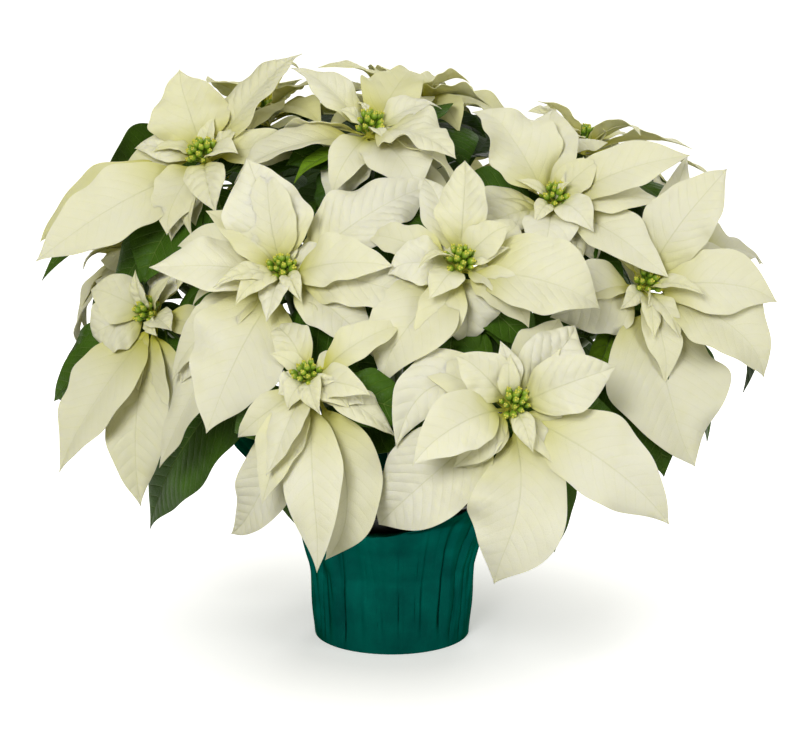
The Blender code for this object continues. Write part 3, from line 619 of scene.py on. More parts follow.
# How much painted shade darkens and yellows a bloom's bracts, where it is more or less than a little.
SHADED = {"front_right": 0.0, "front_left": 0.02, "upper_left": 0.12, "left": 0.10, "back_top": 0.32,
          "back_left": 0.40, "back_right": 0.22, "far_left": 0.16, "rear_left": 0.16, "rear_middle": 0.12}
# The usual painted shade, and the painted shade added to the bracts that stand between and beneath the
# larger ones.
USUAL_SHADE = 0.04
FILLING_SHADE = 0.12


def unit(vector):
    """The vector at length one, as an array."""
    vector = np.asarray(vector, float)
    return vector / np.linalg.norm(vector)


def way_round(axis, angle):
    """The unit vector square to a unit axis, at an angle round it."""
    first = unit(np.cross(axis, (0.0, 0.0, 1.0) if abs(axis[2]) < 0.9 else (1.0, 0.0, 0.0)))
    return first * math.cos(angle) + np.cross(axis, first) * math.sin(angle)


def turned(vector, axis, degrees):
    """The vector turned about a unit axis."""
    angle = math.radians(degrees)
    return (vector * math.cos(angle) + np.cross(axis, vector) * math.sin(angle)
            + axis * (axis @ vector) * (1 - math.cos(angle)))


def bloom_place(name):
    """A bloom's middle, in metres, and the unit way that it faces."""
    middle, facing = BLOOMS[name][:2]
    return np.array(middle, float) * MM, unit(facing)


def bract_blade(name, row):
    """A bract of a bloom as a blade, from its row of sizes."""
    middle, facing = bloom_place(name)
    right, near, up, width, arch, roll, sway = (*row, 0, 0)[:7]
    reach = np.array([right, -near, up], float) * MM
    depth = ROOT_DEPTH + ROOT_STEP * min(np.linalg.norm(reach) / LONG_BRACT, 1.0)
    out = unit(reach - (reach @ facing) * facing)
    root = middle - facing * depth + out * (HUB_RADIUS - ROOT_SINK)
    return {"root": root, "tip": middle + reach, "face": facing, "width": width * MM, "arch": arch,
            "roll": roll, "sway": sway}


def ruled_rows(name, count, start):
    """Rows for the bracts of a bloom that is built by rule: large ones below, three small ones above."""
    facing = bloom_place(name)[1]
    draw = random.Random(name)
    rows = []
    for k in range(count):
        small = k >= count - 3
        length = draw.uniform(46, 60) if small else draw.uniform(98, 128)
        lean = draw.uniform(0.25, 0.55) if small else draw.uniform(-0.35, 0.05)
        around = way_round(facing, math.radians(start + GOLDEN_ANGLE * k))
        x, y, z = unit(around + facing * lean) * length
        width = draw.uniform(20, 24) if small else draw.uniform(52, 64)
        rows.append((x, -y, z, width, draw.uniform(0.10, 0.16)))
    return rows


def filling_rows(name, draw):
    """Rows for a bloom's narrow and curled bracts."""
    facing = bloom_place(name)[1]
    rows = []
    for count, off, lengths, leans, slimness, arches, roll, sway in FILLING:
        start = draw.uniform(0, 360)
        for k in range(count):
            around = way_round(facing, math.radians(start + 360 * k / count + draw.uniform(-off, off)))
            length = draw.uniform(*lengths)
            x, y, z = unit(around + facing * draw.uniform(*leans)) * length
            rows.append((x, -y, z, length * draw.uniform(*slimness), draw.uniform(*arches),
                         draw.uniform(-roll, roll), draw.uniform(-sway, sway)))
    return rows


def course(blade):
    """The point that a blade's midline arches towards, and the way that its upper face looks."""
    root, tip = blade["root"], blade["tip"]
    length = np.linalg.norm(tip - root)
    along = (tip - root) / length
    up = turned(unit(blade["face"] - (blade["face"] @ along) * along), along, blade["roll"])
    crown = (root + tip) / 2 + (up * blade["arch"] + np.cross(along, up) * blade["sway"]) * length * 2
    return crown, up


def bends(blade):
    """The blade in the bent forms that the solids choose from: leaned, arched and shortened."""
    for share in SHORTER:
        for way in (unit(LEAN_WAY), blade["face"]):
            for lean in LEAN_STEPS:
                tip = blade["root"] + (blade["tip"] - blade["root"]) * share + way * lean * MM
                yield [dict(blade, tip=tip, arch=blade["arch"] * arch) for arch in ARCH_STEPS]


def node_corners(name):
    """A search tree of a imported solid's corners."""
    corners = frame["nodes"][name].data.vertices
    tree = KDTree(len(corners))
    for index, corner in enumerate(corners):
        tree.insert(corner.co, index)
    tree.balance()
    return tree


def built_form(blade, corners, stations):
    """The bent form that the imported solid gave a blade: its tip and midline lie on the solid's corners.
    A blade that no form fits stays as it is."""
    def off(point):
        return corners.find(point)[2]

    found = []
    for forms in bends(blade):
        if off(forms[0]["tip"]) > ON_CORNER:
            continue
        for form in forms:
            crown, root, tip = course(form)[0], form["root"], form["tip"]
            gap = sum(off((1 - s) ** 2 * root + 2 * s * (1 - s) * crown + s ** 2 * tip) for s in stations)
            found.append((gap, len(found), form))
    return min(found)[2] if found else blade


def mark(item, columns):
    """Gives each point of a mesh its number or vector under each name."""
    for key, values in columns.items():
        values = np.array(values, float)
        kind, field = ("FLOAT", "value") if values.ndim == 1 else ("FLOAT_VECTOR", "vector")
        item.data.attributes.new(key, kind, "POINT").data.foreach_set(field, values.ravel())


def blade_places(name, blades, draw):
    """A mesh of loose points, one for each blade, that carries what the tree needs to grow it."""
    rows = []
    for blade in blades:
        crown, up = course(blade)
        length = np.linalg.norm(blade["tip"] - blade["root"])
        looks = {"phase": draw.uniform(0, 6.28), "fullness": draw.uniform(0.3, 0.8),
                 "quilt": 0.35 + 1.4 * draw.random() ** 3, "tint": draw.uniform(0.0, 0.12),
                 "twist": draw.uniform(-0.4, 0.4), "wave": draw.uniform(0.5, 1.4), "shade": 0.0}
        row = {**looks, **blade, "crown": crown, "face up": up,
               "pairs": max(6, round(length / VEIN_SPACING))}
        # The painted shade is added to the tint, so it darkens and yellows the blade.
        row["tint"] += row["shade"]
        rows.append(row)
    item = plain_mesh(name, [(0.0, 0.0, 0.0)] * len(blades))
    keys = ("root", "crown", "tip", "face up", "width", "phase", "fullness", "quilt", "tint", "twist",
            "wave", "pairs")
    mark(item, {key: [row[key] for row in rows] for key in keys})
    return item


def kept(add, geometry, key, value):
    """Keeps a number under a name on each point of a growing mesh."""
    return add("GeometryNodeStoreNamedAttribute", properties={"data_type": "FLOAT", "domain": "POINT"},
               Geometry=geometry, Name=key, Value=value)


def named(add, key, kind="FLOAT"):
    """What a growing mesh carries under a name."""
    return add("GeometryNodeInputNamedAttribute", properties={"data_type": kind}, Name=key)


def together(tree, *parts):
    """Several growing meshes as one."""
    node = tree.nodes.new("GeometryNodeJoinGeometry")
    for part in parts:
        feed(node.inputs[0], part)
    return Field(tree, node.outputs[0])


def laid(add, spots, rows, columns):
    """A flat grid at each spot, marked with the share along and the share across from -1 to 1."""
    sheet = add("GeometryNodeMeshGrid", Size_X=1.0, Size_Y=1.0, Vertices_X=rows, Vertices_Y=columns)
    x, y, _ = add("GeometryNodeInputPosition").parts()
    sheet = kept(add, kept(add, sheet, "share", x + 0.5), "across", y * -2)
    placed = add("GeometryNodeInstanceOnPoints", Points=spots, Instance=sheet)
    return add("GeometryNodeRealizeInstances", Geometry=placed)


def blade_tree():
    """Grows a blade at each point: a quilted sheet folded at its midrib, and a round rib beneath it."""
    tree, given, add = new_tree("blades", {
        "Rows": "Int", "Columns": "Int", "Stalk share": "Float", "Stalk half width": "Float",
        "Thickness": "Float", "Fold": "Float", "Quilt height": "Float", "Edge wave": "Float",
        "Rib radius": "Float"})
    s, c, width, phase = (named(add, key) for key in ("share", "across", "width", "phase"))
    root, crown, tip, up = (named(add, key, "FLOAT_VECTOR") for key in ("root", "crown", "tip", "face up"))
    rest = 1 - s
    hand = c.number("SIGN")
    far = c.size()

    # The midline, and the ways to the side and out of the face along it.
    middle = root * (rest * rest) + crown * (s * rest * 2) + tip * (s * s)
    tangent = ((crown - root) * rest + (tip - crown) * s).vector("NORMALIZE")
    flat_side = tangent.vector("CROSS_PRODUCT", up).vector("NORMALIZE")
    flat_normal = flat_side.vector("CROSS_PRODUCT", tangent)
    turn = named(add, "twist") * s
    side = flat_side * turn.cosine() + flat_normal * turn.sine()
    normal = flat_normal * turn.cosine() - flat_side * turn.sine()

    # Half width: a stalk, then an outline between a slim and a full one, a little uneven on each side.
    # Each outline is divided by its own greatest value.
    t = s.between(given["Stalk share"], 1)
    slim = t ** 0.75 * (1 - t).floored() ** 1.25 * (1 / 0.2663)
    full = t ** 0.70 * (1 - t ** 2).floored() ** 1.3 * (1 / 0.4263)
    uneven = ((t * 11 + phase + hand * 1.3).sine() * 0.045
              + (t * 23 - phase + hand * 2.1).sine() * 0.02 + 1)
    outline = (slim + (full - slim) * named(add, "fullness")) * uneven * width * 0.5
    half = outline.number("MAXIMUM", given["Stalk half width"] * rest)
    reach = half * c
    off = reach.size()

    # Side veins leave the midrib and curve to the tip. The sheet domes between them and waves at its edge.
    length = (tip - root).length()
    vein = (s - (off * 0.62 + off * off * 0.9 / width) / length) * named(add, "pairs") * 1.05
    dome = (vein * math.pi).sine().size() ** 0.7
    room = (1 - far ** 4) * far ** 0.35 * (half / width * 2.4).capped()
    quilt = dome * room * given["Quilt height"] * named(add, "quilt")
    ripple = (s * 12 + phase + hand * 1.7).sine() + (s * 27 - phase * 2 + hand).sine() * 0.5
    edge = ripple * far ** 2.5 * half * given["Edge wave"] * named(add, "wave")

    # The sheet folds at its midrib, cups a little, and its drawn-out tip hooks to one side and down.
    fold = given["Fold"] * ((phase * 3).sine() * hand * 0.5 + 1)
    cupping = off * far * ((phase * 2 + hand).sine() * 0.16 - 0.08)
    drawn_out = s.between(0.72, 1) ** 2 * width
    hook = (side * (drawn_out * (phase * 5).sine() * 0.10)
            - normal * (drawn_out * ((phase * 7).sine() * 0.10 + 0.08)))
    spine = middle + hook
    lift = off * fold.sine() + cupping + quilt + edge
    flat = laid(add, given["Geometry"], given["Rows"], given["Columns"])
    sheet = add("GeometryNodeSetPosition", Geometry=flat,
                Position=spine + side * (reach * fold.cosine()) + normal * lift)
    sheet = add("GeometryNodeMergeByDistance", Geometry=sheet, Distance=WELD)
    sheet = kept(add, kept(add, sheet, "vein", vein), "reach", reach)
    under = add("GeometryNodeExtrudeMesh", Mesh=sheet, Offset_Scale=given["Thickness"] * -1,
                Individual=False)
    under = add("GeometryNodeFlipFaces", Mesh=under)

    # The rib: a tube along the underside that thins to the tip and closes at both ends.
    around = c * math.pi
    radius = rest ** 0.8 * (s * 40).capped() * given["Rib radius"]
    round_it = (side * around.cosine() + normal * around.sine()) * radius
    rib = add("GeometryNodeSetPosition", Geometry=laid(add, given["Geometry"], RIB_ROWS, RIB_SIDES + 1),
              Position=spine - normal * (radius * 0.5 + RIB_SINK) + round_it)
    rib = kept(add, kept(add, rib, "vein", s * 0 + 0.5), "reach", s * 0)
    whole = together(tree, sheet, under, rib)
    welded = add("GeometryNodeMergeByDistance", Geometry=whole, Distance=WELD)
    return closed_tree(tree, given, add, welded)


def marked(place, key):
    """What a piece's surface carries under a name."""
    node = place.tree.nodes.new("ShaderNodeAttribute")
    node.attribute_name = key
    return Field(place.tree, node.outputs["Fac"])


def vein_marks(place, rib_width):
    """Fields of a blade: on a side vein, on the midrib, the swell between veins."""
    part = (marked(place, "vein").number("FRACT") - 0.5).size() * 2
    across = marked(place, "across").size()
    fading = 1 - across ** 3
    side_veins = part.between(0.84, 1.0) * fading
    domes = (1 - part * part) * fading * across ** 0.5 * marked(place, "quilt")
    taper = (1 - marked(place, "share")) * rib_width + 0.00025
    return side_veins, 1 - (marked(place, "reach").size() / taper).capped(), domes


def vein_net(place, scale):
    """The distance from the nearest line of a fine net of veins."""
    return pattern(place, "ShaderNodeTexVoronoi", {"Scale": scale}, feature="DISTANCE_TO_EDGE")


def bract_material():
    """Bract: cream, greener on its veins and at its foot, where the green is partly its own and partly
    painted shade. Painted shade darkens and yellows shaded bracts. A fine net of veins and a soft matt
    skin.
    """
    material, shader, place = new_material("cream_bract")
    side_veins, midrib, domes = vein_marks(place, 0.0011)
    cloud = noise(place, 26, 3)
    net = vein_net(place, 520)
    skin = noise(place, 1500, 2)
    patch = noise(place, 48, 2)
    cream = blended(cloud.between(0.3, 0.7), (0.82, 0.80, 0.61), (0.87, 0.855, 0.73))
    # Greener towards the foot, partly its own colour and partly painted shade deep in the bloom, with
    # chance patches.
    foot = (1 - marked(place, "share").between(0.05, 0.50)) ** 1.6 * 1.1 + patch.between(0.56, 0.80) * 0.10
    # The mix toward dark yellow-green: the tint carries chance tone and the painted shade of shaded blooms
    # and bracts.
    green = (marked(place, "tint") + foot + cloud * 0.24 - 0.12).floored().capped()
    shaded = blended(green, cream, (0.55, 0.53, 0.06))
    veined = blended(side_veins * 0.10 + midrib * 0.28, shaded, (0.60, 0.61, 0.20))
    height = domes * 0.55 + net.between(0.0, 0.08) * 0.08 + skin * 0.05 - side_veins * 0.05 - midrib * 0.12
    surfaced(shader, height, 1.0, 0.001, Base_Color=veined, Roughness=0.58, Subsurface_Weight=0.4,
             Subsurface_Radius=(1.0, 1.0, 0.45), Subsurface_Scale=0.0015, Specular_IOR_Level=0.35)
    return material


cream_bract = bract_material()
grow_blades = blade_tree()
BRACT_SIZES = {"Stalk share": 0.12, "Stalk half width": STALK_HALF_WIDTH, "Thickness": 0.0005,
               "Fold": math.radians(14), "Quilt height": 0.0018, "Edge wave": 0.11, "Rib radius": 0.0009}
LARGE_BLADE = {"Rows": 56, "Columns": 11}
SMALL_BLADE = {"Rows": 24, "Columns": 7}
bract_draw = random.Random(BRACT_SEED)
filling_draw = random.Random(FILLING_SEED)


def grown_blades(places, material, sizes):
    """Blades grown at their places, as a plain mesh."""
    return finished(grown(places, grow_blades, material, sizes), material, 70)


def joined(name, items):
    """One object from several, with the first one's materials."""
    for item in bpy.context.scene.objects:
        item.select_set(item in items)
    bpy.context.view_layer.objects.active = items[0]
    bpy.ops.object.join()
    items[0].name = items[0].data.name = name
    items[0].select_set(False)
    return items[0]


def hub_mesh(name):
    """The short green-cream hub that a bloom's bracts grow from."""
    middle, facing = bloom_place(name)
    rings = ((0, BRANCH_RADIUS), (0.4, 0.0036), (0.8, HUB_RADIUS), (0.98, HUB_RADIUS), (1, 0.0030))
    angles = np.linspace(0, 2 * math.pi, HUB_SIDES, endpoint=False)
    points = []
    for share, radius in rings:
        centre = middle - facing * HUB_LENGTH * (1 - share)
        points += [centre + radius * way_round(facing, angle) for angle in angles]
    faces = [tuple(reversed(range(HUB_SIDES))), tuple(range(len(points) - HUB_SIDES, len(points)))]
    for row in range(len(rings) - 1):
        faces += band(row * HUB_SIDES, HUB_SIDES)
    hub = plain_mesh(name + "_hub", points, faces)
    hub.data.materials.append(cream_bract)
    looks = {"share": 0.05, "tint": 0.3, "across": 1.0, "vein": 0.5, "reach": 1.0}
    mark(hub, {key: [value] * len(points) for key, value in looks.items()})
    return hub


def bloom_bracts(name):
    """A bloom's bracts and hub as one piece that stands for its solid."""
    _, _, rows, ruled, start = BLOOMS[name]
    corners = node_corners(f"{name}_bracts")
    # The bloom's painted shade. Bracts between and beneath the larger ones get more painted shade.
    shade = SHADED.get(name, USUAL_SHADE)
    large, small = [], []
    for index, row in enumerate([*rows, *ruled_rows(name, ruled, start)]):
        wide = row[3] >= WIDE_BRACT and index < len(rows)
        form = built_form(bract_blade(name, row), corners, WIDE_STATIONS if wide else STATIONS)
        looks = {"slim": USUAL_SLIMMING, "shade": shade, **BRACT_LOOKS.get((name, index), {})}
        form = {**form, **looks, "width": form["width"] * looks["slim"]}
        (large if row[3] >= LARGE_BRACT else small).append(form)
    for row in (*SLIVERS.get(name, ()), *filling_rows(name, filling_draw)):
        small.append(dict(bract_blade(name, row), shade=shade + FILLING_SHADE))
    parts = [hub_mesh(name)]
    for kind, blades, counts in (("large", large, LARGE_BLADE), ("small", small, SMALL_BLADE)):
        places = blade_places(f"{name}_{kind}", blades, bract_draw)
        parts.append(grown_blades(places, cream_bract, {**BRACT_SIZES, **counts}))
    return joined(f"{name}_veined_bracts", parts)


for name in BLOOMS:
    bracts = bloom_bracts(name)
    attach(bracts, "root")
    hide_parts(f"{name}_bracts")


# Flower heads
# The true flowers are a tight cluster of small green cups in the middle of each bloom. Each is a waxy pod
# with yellow tips at its mouth, on a short stalk, and the middle ones stand highest.
HEAD_CUPS = 17
HEAD_RADIUS = 0.0128
HEAD_MARGIN = 0.0022
HEAD_HEIGHT = 0.0155
HEAD_SINK = 0.0045
CUP_LENGTH = 0.0063
CUP_SEED = 33


def cup_tree():
    """Sets a cup at each point, turned outwards, with three yellow nubs at its mouth."""
    tree, given, add = new_tree("flower cups", {"Cup length": "Float"})

    def moved(part, height, scale=(1.0, 1.0, 1.0)):
        return add("GeometryNodeTransform", Geometry=part, Translation=(0.0, 0.0, height), Scale=scale)

    height = add("GeometryNodeInputPosition").parts()[2]
    pod = moved(add("GeometryNodeMeshUVSphere", Segments=9, Rings=6, Radius=0.40), 0.15, (1.0, 1.0, 1.35))
    pod = kept(add, pod, "yellow", height.between(0.25, 0.75) * 0.30)
    mouth = moved(add("GeometryNodeMeshCircle", Vertices=3, Radius=0.17), 0.66)
    nub = add("GeometryNodeMeshIcoSphere", Radius=0.13, Subdivisions=1)
    nubs = kept(add, add("GeometryNodeInstanceOnPoints", Points=mouth, Instance=nub), "yellow", 0.75)
    stalk = add("GeometryNodeMeshCone", Vertices=6, Radius_Top=0.16, Radius_Bottom=0.14, Depth=1.2)
    stalk = kept(add, moved(stalk, -1.3), "yellow", 0.0)
    turned_out = add("FunctionNodeAlignRotationToVector", properties={"axis": "Z"},
                     Vector=named(add, "way", "FLOAT_VECTOR"))
    placed = add("GeometryNodeInstanceOnPoints", Points=given["Geometry"],
                 Instance=together(tree, pod, nubs, stalk), Rotation=turned_out,
                 Scale=named(add, "size") * given["Cup length"])
    return closed_tree(tree, given, add, placed)


def head_places(name, draw):
    """A mesh of loose points on a low dome, one for each cup, with its outward way and its size."""
    middle, facing = bloom_place(name)
    points, ways, sizes = [], [], []
    for k in range(HEAD_CUPS):
        spread = math.sqrt((k + 0.3) / HEAD_CUPS)
        out = way_round(facing, math.radians(GOLDEN_ANGLE * k) + draw.uniform(-0.2, 0.2))
        height = HEAD_HEIGHT * (1 - 0.55 * spread ** 2) - HEAD_SINK
        points.append(middle + out * spread * (HEAD_RADIUS - HEAD_MARGIN) + facing * height)
        ways.append(unit(facing + out * 0.9 * spread))
        sizes.append(draw.uniform(0.75, 1.15))
    item = plain_mesh(f"{name}_flower_cups", points)
    mark(item, {"way": ways, "size": sizes})
    return item


def cup_material():
    """Waxy green pods, yellow at the mouth."""
    material, shader, place = new_material("flower_cups")
    mottled = noise(place, 300, 3)
    green = blended(mottled.between(0.3, 0.7), (0.085, 0.21, 0.010), (0.27, 0.44, 0.025))
    surfaced(shader, mottled, 0.3, 0.0006, Roughness=0.35,
             Base_Color=blended(marked(place, "yellow"), green, (0.80, 0.70, 0.09)))
    return material


flower_cups = cup_material()
grow_cups = cup_tree()
cup_draw = random.Random(CUP_SEED)
for name in BLOOMS:
    head = grown(head_places(name, cup_draw), grow_cups, flower_cups, {"Cup length": CUP_LENGTH})
    finished(head, flower_cups)
    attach(head, "root")
    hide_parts(f"{name}_flower_head")


# Stems
# Each plant is one green stem, woody and brown at its foot, that forks low down into a branch for each
# bloom. The branches carry scars where lower leaves have dropped, and thicken a little at each joint.
FOOT_RADIUS = 0.0060
STEM_FOOT = 0.0294
STEM_BEND = 0.0040
STEM_POINTS = 14
FORK_RADIUS = 0.0046
FORK_STEP = 0.0060
BRANCH_NECK = 0.0050
HUB_GAP = 0.0003
HUB_OVERLAP = 0.0006
BRANCH_POINTS = 36
BRANCH_STATIONS = (0.0, 0.30, 0.65, 1.0)

# The plants: where each stem stands in the soil, where it forks, and the blooms that its branches carry.
PLANTS = {
    "left_plant": ((-0.030, -0.012), (-0.038, -0.016, 0.140),
                   ("front_left", "middle_left", "left", "upper_left", "far_left", "back_left")),
    "right_plant": ((0.030, -0.014), (0.038, -0.018, 0.136),
                    ("front_right", "middle", "right", "upper_right", "far_right")),
    "back_plant": ((0.002, 0.032), (0.002, 0.038, 0.144),
                   ("top", "back_top", "back_right", "rear_left", "rear_middle", "rear_right")),
}


def branch_course(fork, end, way, stations):
    """Points along a branch that leaves the fork upward and reaches a hub along its axis."""
    reach = np.linalg.norm(end - fork)
    neck = end - way * BRANCH_NECK
    first = fork + (0.0, 0.0, 0.25 * reach)
    second = neck - way * 0.40 * reach
    t = np.asarray(stations)[:, None]
    curve = ((1 - t) ** 3 * fork + 3 * (1 - t) ** 2 * t * first + 3 * (1 - t) * t ** 2 * second
             + t ** 3 * neck)
    return np.vstack([curve, end])


def stem_tree():
    """A round stem along each line, its radius swollen at the leaf joints."""
    tree, given, add = new_tree("stems", {"Sides": "Int", "Joint spacing": "Float",
                                          "Joint swelling": "Float"})
    curve = add("GeometryNodeMeshToCurve", Mesh=given["Geometry"])
    along = add("GeometryNodeSplineParameter", output=1)
    joint = ((along / given["Joint spacing"]).number("FRACT") - 0.5).size() * 2
    radius = named(add, "thickness") * (joint ** 14 * given["Joint swelling"] + 1)
    ring = add("GeometryNodeCurvePrimitiveCircle", Resolution=given["Sides"], Radius=1.0)
    tube = add("GeometryNodeCurveToMesh", Curve=curve, Profile_Curve=ring, Fill_Caps=True, Scale=radius)
    return closed_tree(tree, given, add, kept(add, tube, "joint", joint))


def stem_lines(plant):
    """The lines of a plant's stem and branches, with their thickness, and each branch's coarse path."""
    foot, fork, names = PLANTS[plant]
    fork = np.array(fork, float)
    ground = np.array([*foot, SOIL_TOP - STEM_FOOT])
    bend = np.array([*foot, SOIL_TOP + STEM_BEND])
    t = np.linspace(0, 1, STEM_POINTS)[:, None]
    knee = bend + (fork - bend) * (0.35, 0.35, 0.75)
    rise = (1 - t) ** 2 * bend + 2 * (1 - t) * t * knee + t ** 2 * fork
    lines = [np.vstack([ground, rise, fork + (0, 0, FORK_STEP)])]
    widths = [np.r_[[FOOT_RADIUS], np.linspace(FOOT_RADIUS, FORK_RADIUS * 1.2, STEM_POINTS), [0.0020]]]
    paths = {}
    for k, name in enumerate(names):
        middle, facing = bloom_place(name)
        start = fork - (0, 0, FORK_STEP * k)
        end = middle - facing * (HUB_LENGTH + HUB_GAP)
        paths[name] = branch_course(start, end, facing, BRANCH_STATIONS)
        lines.append(branch_course(start, end + facing * HUB_OVERLAP, facing,
                                   np.linspace(0, 1, BRANCH_POINTS)))
        widths.append(np.linspace(FORK_RADIUS, BRANCH_RADIUS, BRANCH_POINTS + 1))
    edges = []
    at = 0
    for line in lines:
        edges += [(at + k, at + k + 1) for k in range(len(line) - 1)]
        at += len(line)
    item = plain_mesh(f"{plant}_stems", np.vstack(lines), edges=edges)
    mark(item, {"thickness": np.concatenate(widths)})
    return item, paths


def stem_material():
    """Stem: fresh green above, grey-brown and corky towards the soil, darker at the leaf joints."""
    material, shader, place = new_material("stem")
    streaks = noise(place, 220, 4)
    height = place.parts()[2] + streaks * 0.03
    colour = blended(height.between(0.13, 0.20), (0.085, 0.062, 0.030), (0.10, 0.19, 0.035))
    scar = marked(place, "joint").between(0.86, 1.0) * 0.6
    surfaced(shader, streaks, 0.5, 0.0008, Base_Color=blended(scar, colour, (0.07, 0.075, 0.025)),
             Roughness=0.5)
    return material


stem = stem_material()
grow_stems = stem_tree()
branch_paths = {}
for plant in PLANTS:
    stems, paths = stem_lines(plant)
    branch_paths.update(paths)
    grown(stems, grow_stems, stem, {"Sides": 14, "Joint spacing": 0.026, "Joint swelling": 0.16})
    finished(stems, stem)
    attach(stems, "root")
    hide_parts(plant)


# Leaves
# The green leaves are the bracts' own kind: dark and satin, with a paler net of veins, on stalks that
# leave the branches below each bloom. They are broad, drawn out to a point and gently quilted.
LEAF_ARCH = 0.12
LEAF_WIDTH = 0.52
INNER_LEAF_WIDTH = 0.56
LEAF_DROOP = 0.30
LEAVES_PER_BLOOM = 3
LEAF_SHARES = (0.93, 0.86, 0.78)
INNER_LEAVES = 6
LEAF_SEED = 4
LEAF_LOOKS_SEED = 44

# Large leaves placed one by one, for the bloom whose branch carries each: the share of the way along that
# branch, how far the tip lies right, nearer and up from the bloom's middle, and the width.
LEAVES = {
    "far_left": ((0.8, -68, 50, -22, 50), (0.6, -12, -10, -100, 56)),
    "upper_left": ((0.72, -74, -10, -123, 56),),
    "middle_left": (
        (0.62, -113, -25, -203, 84), (0.8, -43, -60, 10, 48), (0.62, 14, 5, -62, 54),
        (0.74, 49, 15, -72, 52),),
    "left": ((0.8, -82, 10, -71, 40),),
    "front_right": ((0.62, 33, -15, -114, 78), (0.8, 81, -40, -25, 52), (0.74, -18, -60, 27, 50)),
    "right": ((0.6, 17, 40, -140, 66), (0.74, -3, 0, -53, 56)),
    "front_left": ((0.7, 45, -25, -23, 46), (0.55, 80, -40, -64, 54)),
    "middle": (
        (0.7, -42, -20, -70, 50), (0.8, 50, -30, -87, 52), (0.6, -14, -5, -54, 50),
        (0.86, -64, -30, -63, 44),),
    "top": ((0.8, -30, 30, -76, 50), (0.74, 38, 40, -78, 50)),
    "upper_right": ((0.8, -41, 30, -43, 50), (0.74, 30, 40, -46, 50)),
    "rear_middle": ((0.6, 0, -5, -225, 60),),
    "rear_left": ((0.6, -2, 10, -185, 60),),
    "rear_right": ((0.6, 28, 15, -152, 60),),
    "far_right": ((0.6, 4, -20, -116, 56),),
}
# Leaves that look out between the bracts, in rows of the same kind, and how much yellower each is.
PEEPING = {
    "upper_left": ((0.80, -131, -8, -98, 26), 0.1),
    "right": ((0.70, -48, 40, -80, 24), 0.9),
    "middle": ((0.75, 46, -10, -71, 40), 0.1),
    "top": ((0.92, -60, 26, -37, 24), 0.9),
}


def along_branch(name, share):
    """The point at a share of the way along a bloom's branch."""
    path = branch_paths[name]
    at = share * (len(path) - 1)
    low = min(int(at), len(path) - 2)
    return path[low] + (path[low + 1] - path[low]) * (at - low)


def leaf_blade(name, share, tip, width):
    """A leaf on a bloom's branch, with its stalk, as a blade. Its tip is counted from its root."""
    root = along_branch(name, share)
    return {"root": root, "tip": root + tip, "face": bloom_place(name)[1], "width": width,
            "arch": LEAF_ARCH, "roll": 0.0, "sway": 0.0}


def placed_leaf(name, row):
    """A leaf from its row of sizes, as a blade."""
    share, right, near, up, width = row
    tip = bloom_place(name)[0] + np.array([right, -near, up], float) * MM
    return dict(leaf_blade(name, share, 0, width * MM), tip=tip)


def plant_leaves(plant, draw):
    """A plant's large leaves in the forms of its solid: placed ones, then those set round each branch."""
    corners = node_corners(plant)
    placed, ruled = [], []
    for name in PLANTS[plant][2]:
        own = LEAVES.get(name, ())
        placed += [placed_leaf(name, row) for row in own]
        start = draw.uniform(0, 360)
        for k in range(LEAVES_PER_BLOOM - min(len(own), 2)):
            around = way_round(bloom_place(name)[1], math.radians(start + GOLDEN_ANGLE * k))
            length = draw.uniform(0.105, 0.140)
            ruled.append(leaf_blade(name, LEAF_SHARES[k], unit(around - (0, 0, LEAF_DROOP)) * length,
                                    length * LEAF_WIDTH))
    leaves = [built_form(blade, corners, STATIONS) for blade in placed + ruled]
    for name, (row, tint) in PEEPING.items():
        if name in PLANTS[plant][2]:
            leaves.append(dict(placed_leaf(name, row), tint=tint))
    return leaves


def inner_leaves(plant, draw):
    """The smaller leaves in the shade inside the crown, which close the gaps between the bracts."""
    leaves = []
    for name in PLANTS[plant][2]:
        facing = bloom_place(name)[1]
        start = draw.uniform(0, 360)
        for k in range(INNER_LEAVES):
            share = draw.uniform(0.50, 0.80)
            around = way_round(facing, math.radians(start + GOLDEN_ANGLE * k))
            out = unit(around + facing * draw.uniform(-0.25, 0.0))
            length = draw.uniform(0.062, 0.085)
            leaves.append(leaf_blade(name, share, out * length, length * INNER_LEAF_WIDTH))
    return leaves


def leaf_material():
    """Leaf: deep satin green with paler veins and a fine net between them."""
    material, shader, place = new_material("green_leaf")
    side_veins, midrib, domes = vein_marks(place, 0.0014)
    cloud = noise(place, 30, 4)
    net = vein_net(place, 420)
    green = blended(cloud.between(0.3, 0.7), (0.018, 0.050, 0.003), (0.045, 0.120, 0.006))
    lively = blended(marked(place, "tint"), green, (0.20, 0.36, 0.020))
    netted = blended((1 - net.between(0.0, 0.10)) * 0.22, lively, (0.07, 0.14, 0.02))
    veined = blended(side_veins * 0.40 + midrib * 0.8, netted, (0.16, 0.25, 0.05))
    height = domes * 1.0 + net.between(0.0, 0.12) * 0.15 - side_veins * 0.3 - midrib * 0.5
    surfaced(shader, height, 1.0, 0.001, Base_Color=veined, Roughness=0.45, Specular_IOR_Level=0.12)
    return material


green_leaf = leaf_material()
LEAF_SIZES = {"Stalk share": 0.20, "Stalk half width": STALK_HALF_WIDTH, "Thickness": 0.0006,
              "Fold": math.radians(12), "Quilt height": 0.0016, "Edge wave": 0.06, "Rib radius": 0.0012}
leaf_draw = random.Random(LEAF_SEED)
looks_draw = random.Random(LEAF_LOOKS_SEED)
for plant in PLANTS:
    large = blade_places(f"{plant}_large", plant_leaves(plant, leaf_draw), looks_draw)
    small = blade_places(f"{plant}_small", inner_leaves(plant, looks_draw), looks_draw)
    leaves = joined(f"{plant}_leaves", [grown_blades(large, green_leaf, {**LEAF_SIZES, **LARGE_BLADE}),
                                        grown_blades(small, green_leaf, {**LEAF_SIZES, **SMALL_BLADE})])
    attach(leaves, "root")
    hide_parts(plant)
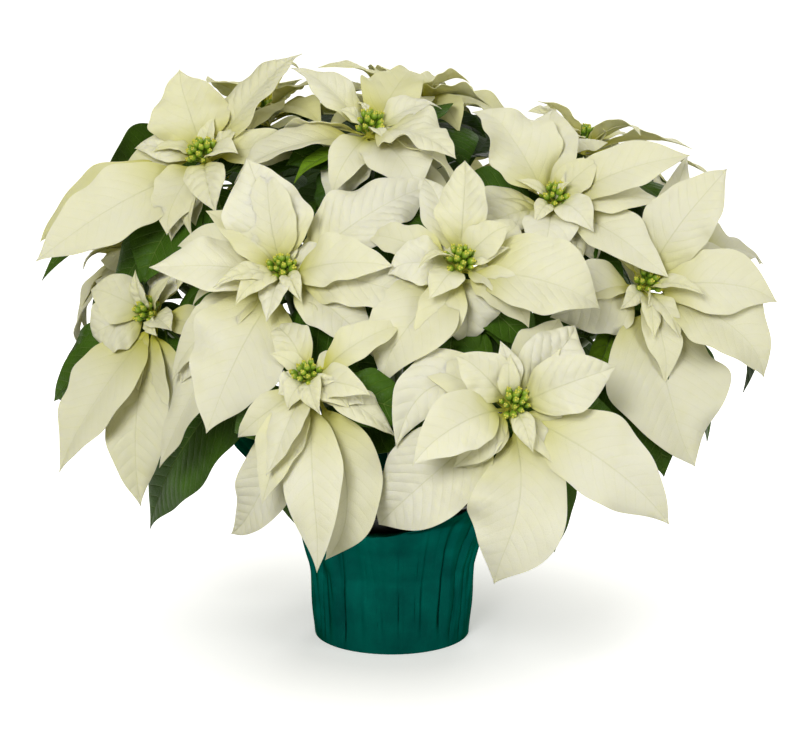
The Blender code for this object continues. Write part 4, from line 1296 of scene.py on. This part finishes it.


# Floor, light and camera
# A seamless pale floor that glows white, weaker near the pot as a painted shadow, a wide soft light from
# the upper left in front, weaker ones from the right, above and behind, and a dim warm room. The camera
# looks slightly down.
CAMERA_PLACE = (0.007, -1.707, 0.57)
CAMERA_DIP = 11.6
CAMERA_LENS = 98.65
CAMERA_SENSOR = 36
FLOOR_HALF = 30.0
PAINTED_SHADOW_CORE = 0.09
PAINTED_SHADOW_REACH = 0.38
GLOW_IN_PAINTED_SHADOW = 0.32
ROOM_COLOUR = (1.0, 0.98, 0.70)
ROOM_STRENGTH = 0.28
LIGHTS = (("left_softbox", (-0.7, -2.2, 1.35), 0.9, 40.0), ("right_softbox", (1.9, -1.2, 0.9), 1.4, 14.0),
          ("top_softbox", (0.0, 0.5, 2.2), 1.4, 6.0), ("back_softbox", (0.5, 2.4, 1.5), 1.2, 14.0))
AIM = (0.0, 0.0, 0.25)

corners = [(x * FLOOR_HALF, y * FLOOR_HALF, 0) for x, y in ((-1, -1), (1, -1), (1, 1), (-1, 1))]
floor = plain_mesh("floor", corners, [(0, 1, 2, 3)])
floor_with_painted_shadow, floor_shader, place = new_material("floor_with_painted_shadow")
# The floor's glow is weaker near the pot: a painted shadow round its foot.
glow_with_painted_shadow = place.length().between(PAINTED_SHADOW_CORE, PAINTED_SHADOW_REACH) * (1 - GLOW_IN_PAINTED_SHADOW) + GLOW_IN_PAINTED_SHADOW
for key, value in (("Emission Strength", glow_with_painted_shadow), ("Emission Color", (1, 1, 1)), ("Roughness", 0.9),
                   ("Base Color", (0.86, 0.86, 0.86)), ("Specular IOR Level", 0.1)):
    feed(floor_shader.inputs[key], value)
floor.data.materials.append(floor_with_painted_shadow)
floor.visible_diffuse = False

room = bpy.data.worlds.new("warm_room")
bpy.context.scene.world = room
room.use_nodes = True
feed(room.node_tree.nodes["Background"].inputs["Color"], ROOM_COLOUR)
feed(room.node_tree.nodes["Background"].inputs["Strength"], ROOM_STRENGTH)

for name, place, size, power in LIGHTS:
    lamp = bpy.data.lights.new(name, "AREA")
    lamp.shape = "DISK"
    lamp.size = size
    lamp.energy = power
    softbox = bpy.data.objects.new(name, lamp)
    softbox.location = place
    softbox.rotation_euler = (softbox.location - Vector(AIM)).to_track_quat("Z", "Y").to_euler()
    bpy.context.scene.collection.objects.link(softbox)

camera = bpy.data.objects.new("camera", bpy.data.cameras.new("camera"))
camera.data.lens = CAMERA_LENS
camera.data.sensor_width = CAMERA_SENSOR
camera.location = CAMERA_PLACE
camera.rotation_euler = (math.radians(90 - CAMERA_DIP), 0, 0)
bpy.context.scene.collection.objects.link(camera)
bpy.context.scene.camera = camera
bpy.context.scene.view_settings.view_transform = "Standard"
